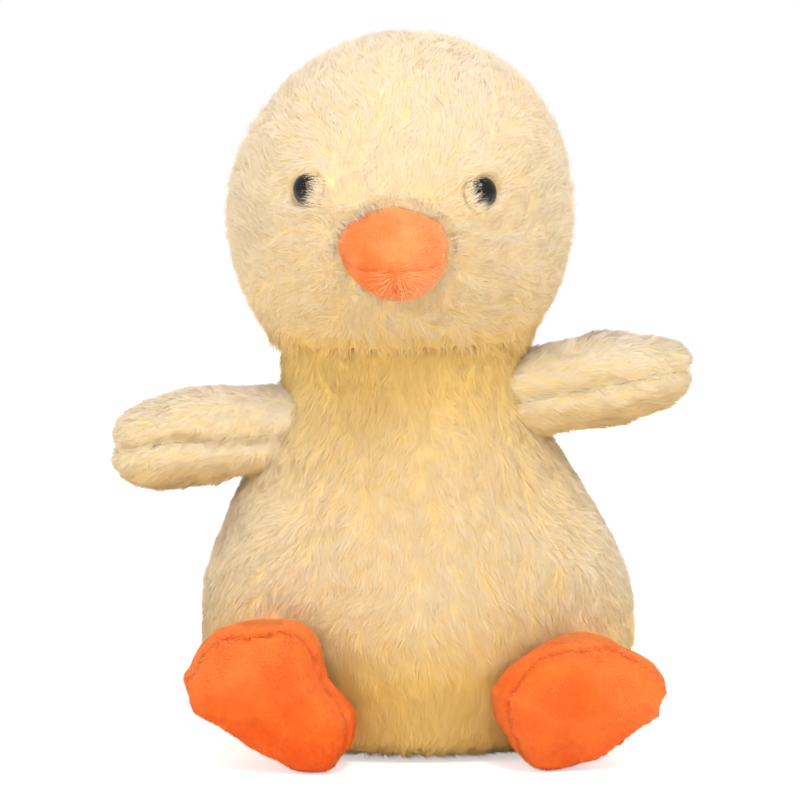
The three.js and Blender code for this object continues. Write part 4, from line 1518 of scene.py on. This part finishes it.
class DUCK_OT_weight(bpy.types.Operator):
    """Makes the pouch in the base and the pellets in it"""

    bl_idname = "duck.weight"
    bl_label = "Pouch and pellets"

    def execute(self, context):
        pouch = copy_of_nodes("pellet_pouch")
        pouch.name = pouch.data.name = "pellet_bag"
        apply_modifier(pouch, "SUBSURF", levels=1, render_levels=1, subdivision_type="SIMPLE")
        finish_piece(pouch, "calico", "torso", "pellet_pouch")

        radius = context.scene.duck_stuffing.pellet_radius
        bpy.ops.mesh.primitive_ico_sphere_add(subdivisions=1, radius=radius)
        pellet = context.object
        shape = points_of(pellet)
        faces = np.array([list(face.vertices) for face in pellet.data.polygons])
        remove(pellet)
        places = self.packed_places(radius)
        rng = np.random.default_rng(71)
        points = np.concatenate([place + shape @ np.array(self.tumble(rng)).T for place in places])
        corners = np.concatenate([faces + k * len(shape) for k in range(len(places))])
        mesh = bpy.data.meshes.new("pellet_heap")
        mesh.from_pydata(points.tolist(), [], corners.tolist())
        pellets = link(bpy.data.objects.new("pellet_heap", mesh))
        finish_piece(pellets, "pellet plastic", "torso", "pellets", smooth=False)
        return {"FINISHED"}

    @staticmethod
    def packed_places(radius):
        """Middles of close rows of pellets, as far as they fit in the heap."""
        heap = copy_of_nodes("pellets")
        tree = tree_of(heap)
        remove(heap)
        middle, half = centre_of("pellets")
        steps = radius * 2.02 * np.array([1, 0.87, 0.82])
        ranges = (np.arange(-h, h + steps[0], step) for h, step in zip(half, steps))
        places = []
        for spot in np.stack(np.meshgrid(*ranges), -1).reshape(-1, 3):
            row = sum(round(number) for number in ((spot + half) / steps)[1:])
            place = Vector(middle + spot + np.array([steps[0] / 2 * (row % 2), 0, 0]))
            hit, normal, _, gap = tree.find_nearest(place)
            if (place - hit).dot(normal) < 0 and gap > radius * 1.05:
                places.append(place)
        return np.array(places)

    @staticmethod
    def tumble(rng):
        return Matrix.Rotation(rng.uniform(0, math.pi), 3, Vector(unit(rng.normal(size=3))))


# Stage


def lamp(name, place, target, size, power):
    data = bpy.data.lights.new(name, "AREA")
    data.shape, data.size, data.energy = "DISK", size, power
    light = link(bpy.data.objects.new(name, data))
    light.location = place
    light.rotation_euler = (Vector(target) - Vector(place)).to_track_quat("-Z", "Y").to_euler()
    return light


def seen(tree):
    """1 for what the camera, a reflection or a clear material sees, and 0 for what lights the duck."""
    path = tree.nodes.new("ShaderNodeLightPath")
    total = path.outputs["Is Camera Ray"]
    for name in ("Is Glossy Ray", "Is Transmission Ray"):
        inputs = ((0, total), (1, path.outputs[name]))
        total = add(tree, "ShaderNodeMath", inputs, operation="ADD", use_clamp=True).outputs[0]
    return total


class DUCK_OT_stage(bpy.types.Operator):
    """Makes the pale floor, the soft studio light and the camera"""

    bl_idname = "duck.stage"
    bl_label = "Stage"

    def execute(self, context):
        settings = context.scene.duck_stage
        bpy.ops.mesh.primitive_plane_add(size=settings.floor_size, location=(0, 0, -0.0002))
        floor = context.object
        floor.name = "floor"
        paint, tree, surface = new_material("pale floor")
        white = (1, 1, 1, 1)
        set_sockets(surface, {
            "Base Color": rgba((0.93, 0.93, 0.93)), "Roughness": 0.9, "Specular IOR Level": 0.1,
            "Emission Color": white,
        })
        glow = add(tree, "ShaderNodeMath", ((0, seen(tree)), (1, 0.5)), operation="MULTIPLY")
        tree.links.new(glow.outputs[0], surface.inputs["Emission Strength"])
        floor.data.materials.append(paint)

        world = bpy.data.worlds.new("white room")
        context.scene.world = world
        world.use_nodes = True
        tree = world.node_tree
        room = tree.nodes["Background"]
        set_sockets(room, {"Color": (0.975, 0.985, 1, 1), "Strength": 0.8})
        paper = add(tree, "ShaderNodeBackground", (("Color", white), ("Strength", 1.0)))
        inputs = ((0, seen(tree)), (1, room.outputs[0]), (2, paper.outputs[0]))
        both = add(tree, "ShaderNodeMixShader", inputs)
        tree.links.new(both.outputs[0], tree.nodes["World Output"].inputs[0])

        middle = (0, 0, 0.12)
        lamp("top softbox", (0.15, -0.75, 1.25), middle, 0.45, 9.2)
        for name, place, power in (
            ("left softbox", (-1.1, -1.0, 0.6), 8.2),
            ("right softbox", (1.2, -1.0, 0.5), 6.2),
            ("back softbox", (0.3, 1.4, 0.7), 8.0),
        ):
            lamp(name, place, middle, 0.8, power).visible_glossy = False

        data = bpy.data.cameras.new("camera")
        data.lens, data.sensor_width = settings.lens, 36
        data.clip_start, data.clip_end = 0.05, 30
        camera = link(bpy.data.objects.new("camera", data))
        rise = settings.camera_rise
        back = Vector((0, -math.cos(rise), math.sin(rise)))
        camera.location = Vector(settings.aim) + back * settings.camera_distance
        camera.rotation_euler = (-back).to_track_quat("-Z", "Y").to_euler()
        context.scene.camera = camera
        context.scene.view_settings.view_transform = "Standard"
        return {"FINISHED"}


class DUCK_PT_panel(bpy.types.Panel):
    """Lists the steps that make the duck"""

    bl_idname = "DUCK_PT_panel"
    bl_label = "Plush duck"
    bl_space_type = "VIEW_3D"
    bl_region_type = "UI"
    bl_category = "Duck"

    def draw(self, context):
        for step in STEPS:
            self.layout.operator(step.bl_idname)


STEPS = (
    DUCK_OT_feet,
    DUCK_OT_beak,
    DUCK_OT_body,
    DUCK_OT_head,
    DUCK_OT_wings,
    DUCK_OT_tail,
    DUCK_OT_eyes,
    DUCK_OT_stuffing,
    DUCK_OT_weight,
    DUCK_OT_stage,
)
SETTINGS = {
    "duck_plush": PlushSettings,
    "duck_orange": OrangeSettings,
    "duck_eye": EyeSettings,
    "duck_stuffing": StuffingSettings,
    "duck_stage": StageSettings,
}


def register():
    for cls in (*SETTINGS.values(), *STEPS, DUCK_PT_panel):
        bpy.utils.register_class(cls)
    for name, cls in SETTINGS.items():
        setattr(bpy.types.Scene, name, PointerProperty(type=cls))


def unregister():
    for name in SETTINGS:
        delattr(bpy.types.Scene, name)
    for cls in reversed((*SETTINGS.values(), *STEPS, DUCK_PT_panel)):
        bpy.utils.unregister_class(cls)


def main():
    register()
    for step in STEPS:
        getattr(bpy.ops.duck, step.bl_idname.split(".")[1])()
    for name in ("foot_left_skin", "foot_right_skin", "body_skin"):
        remove(bpy.data.objects[name])


if __name__ == "__main__":
    main()
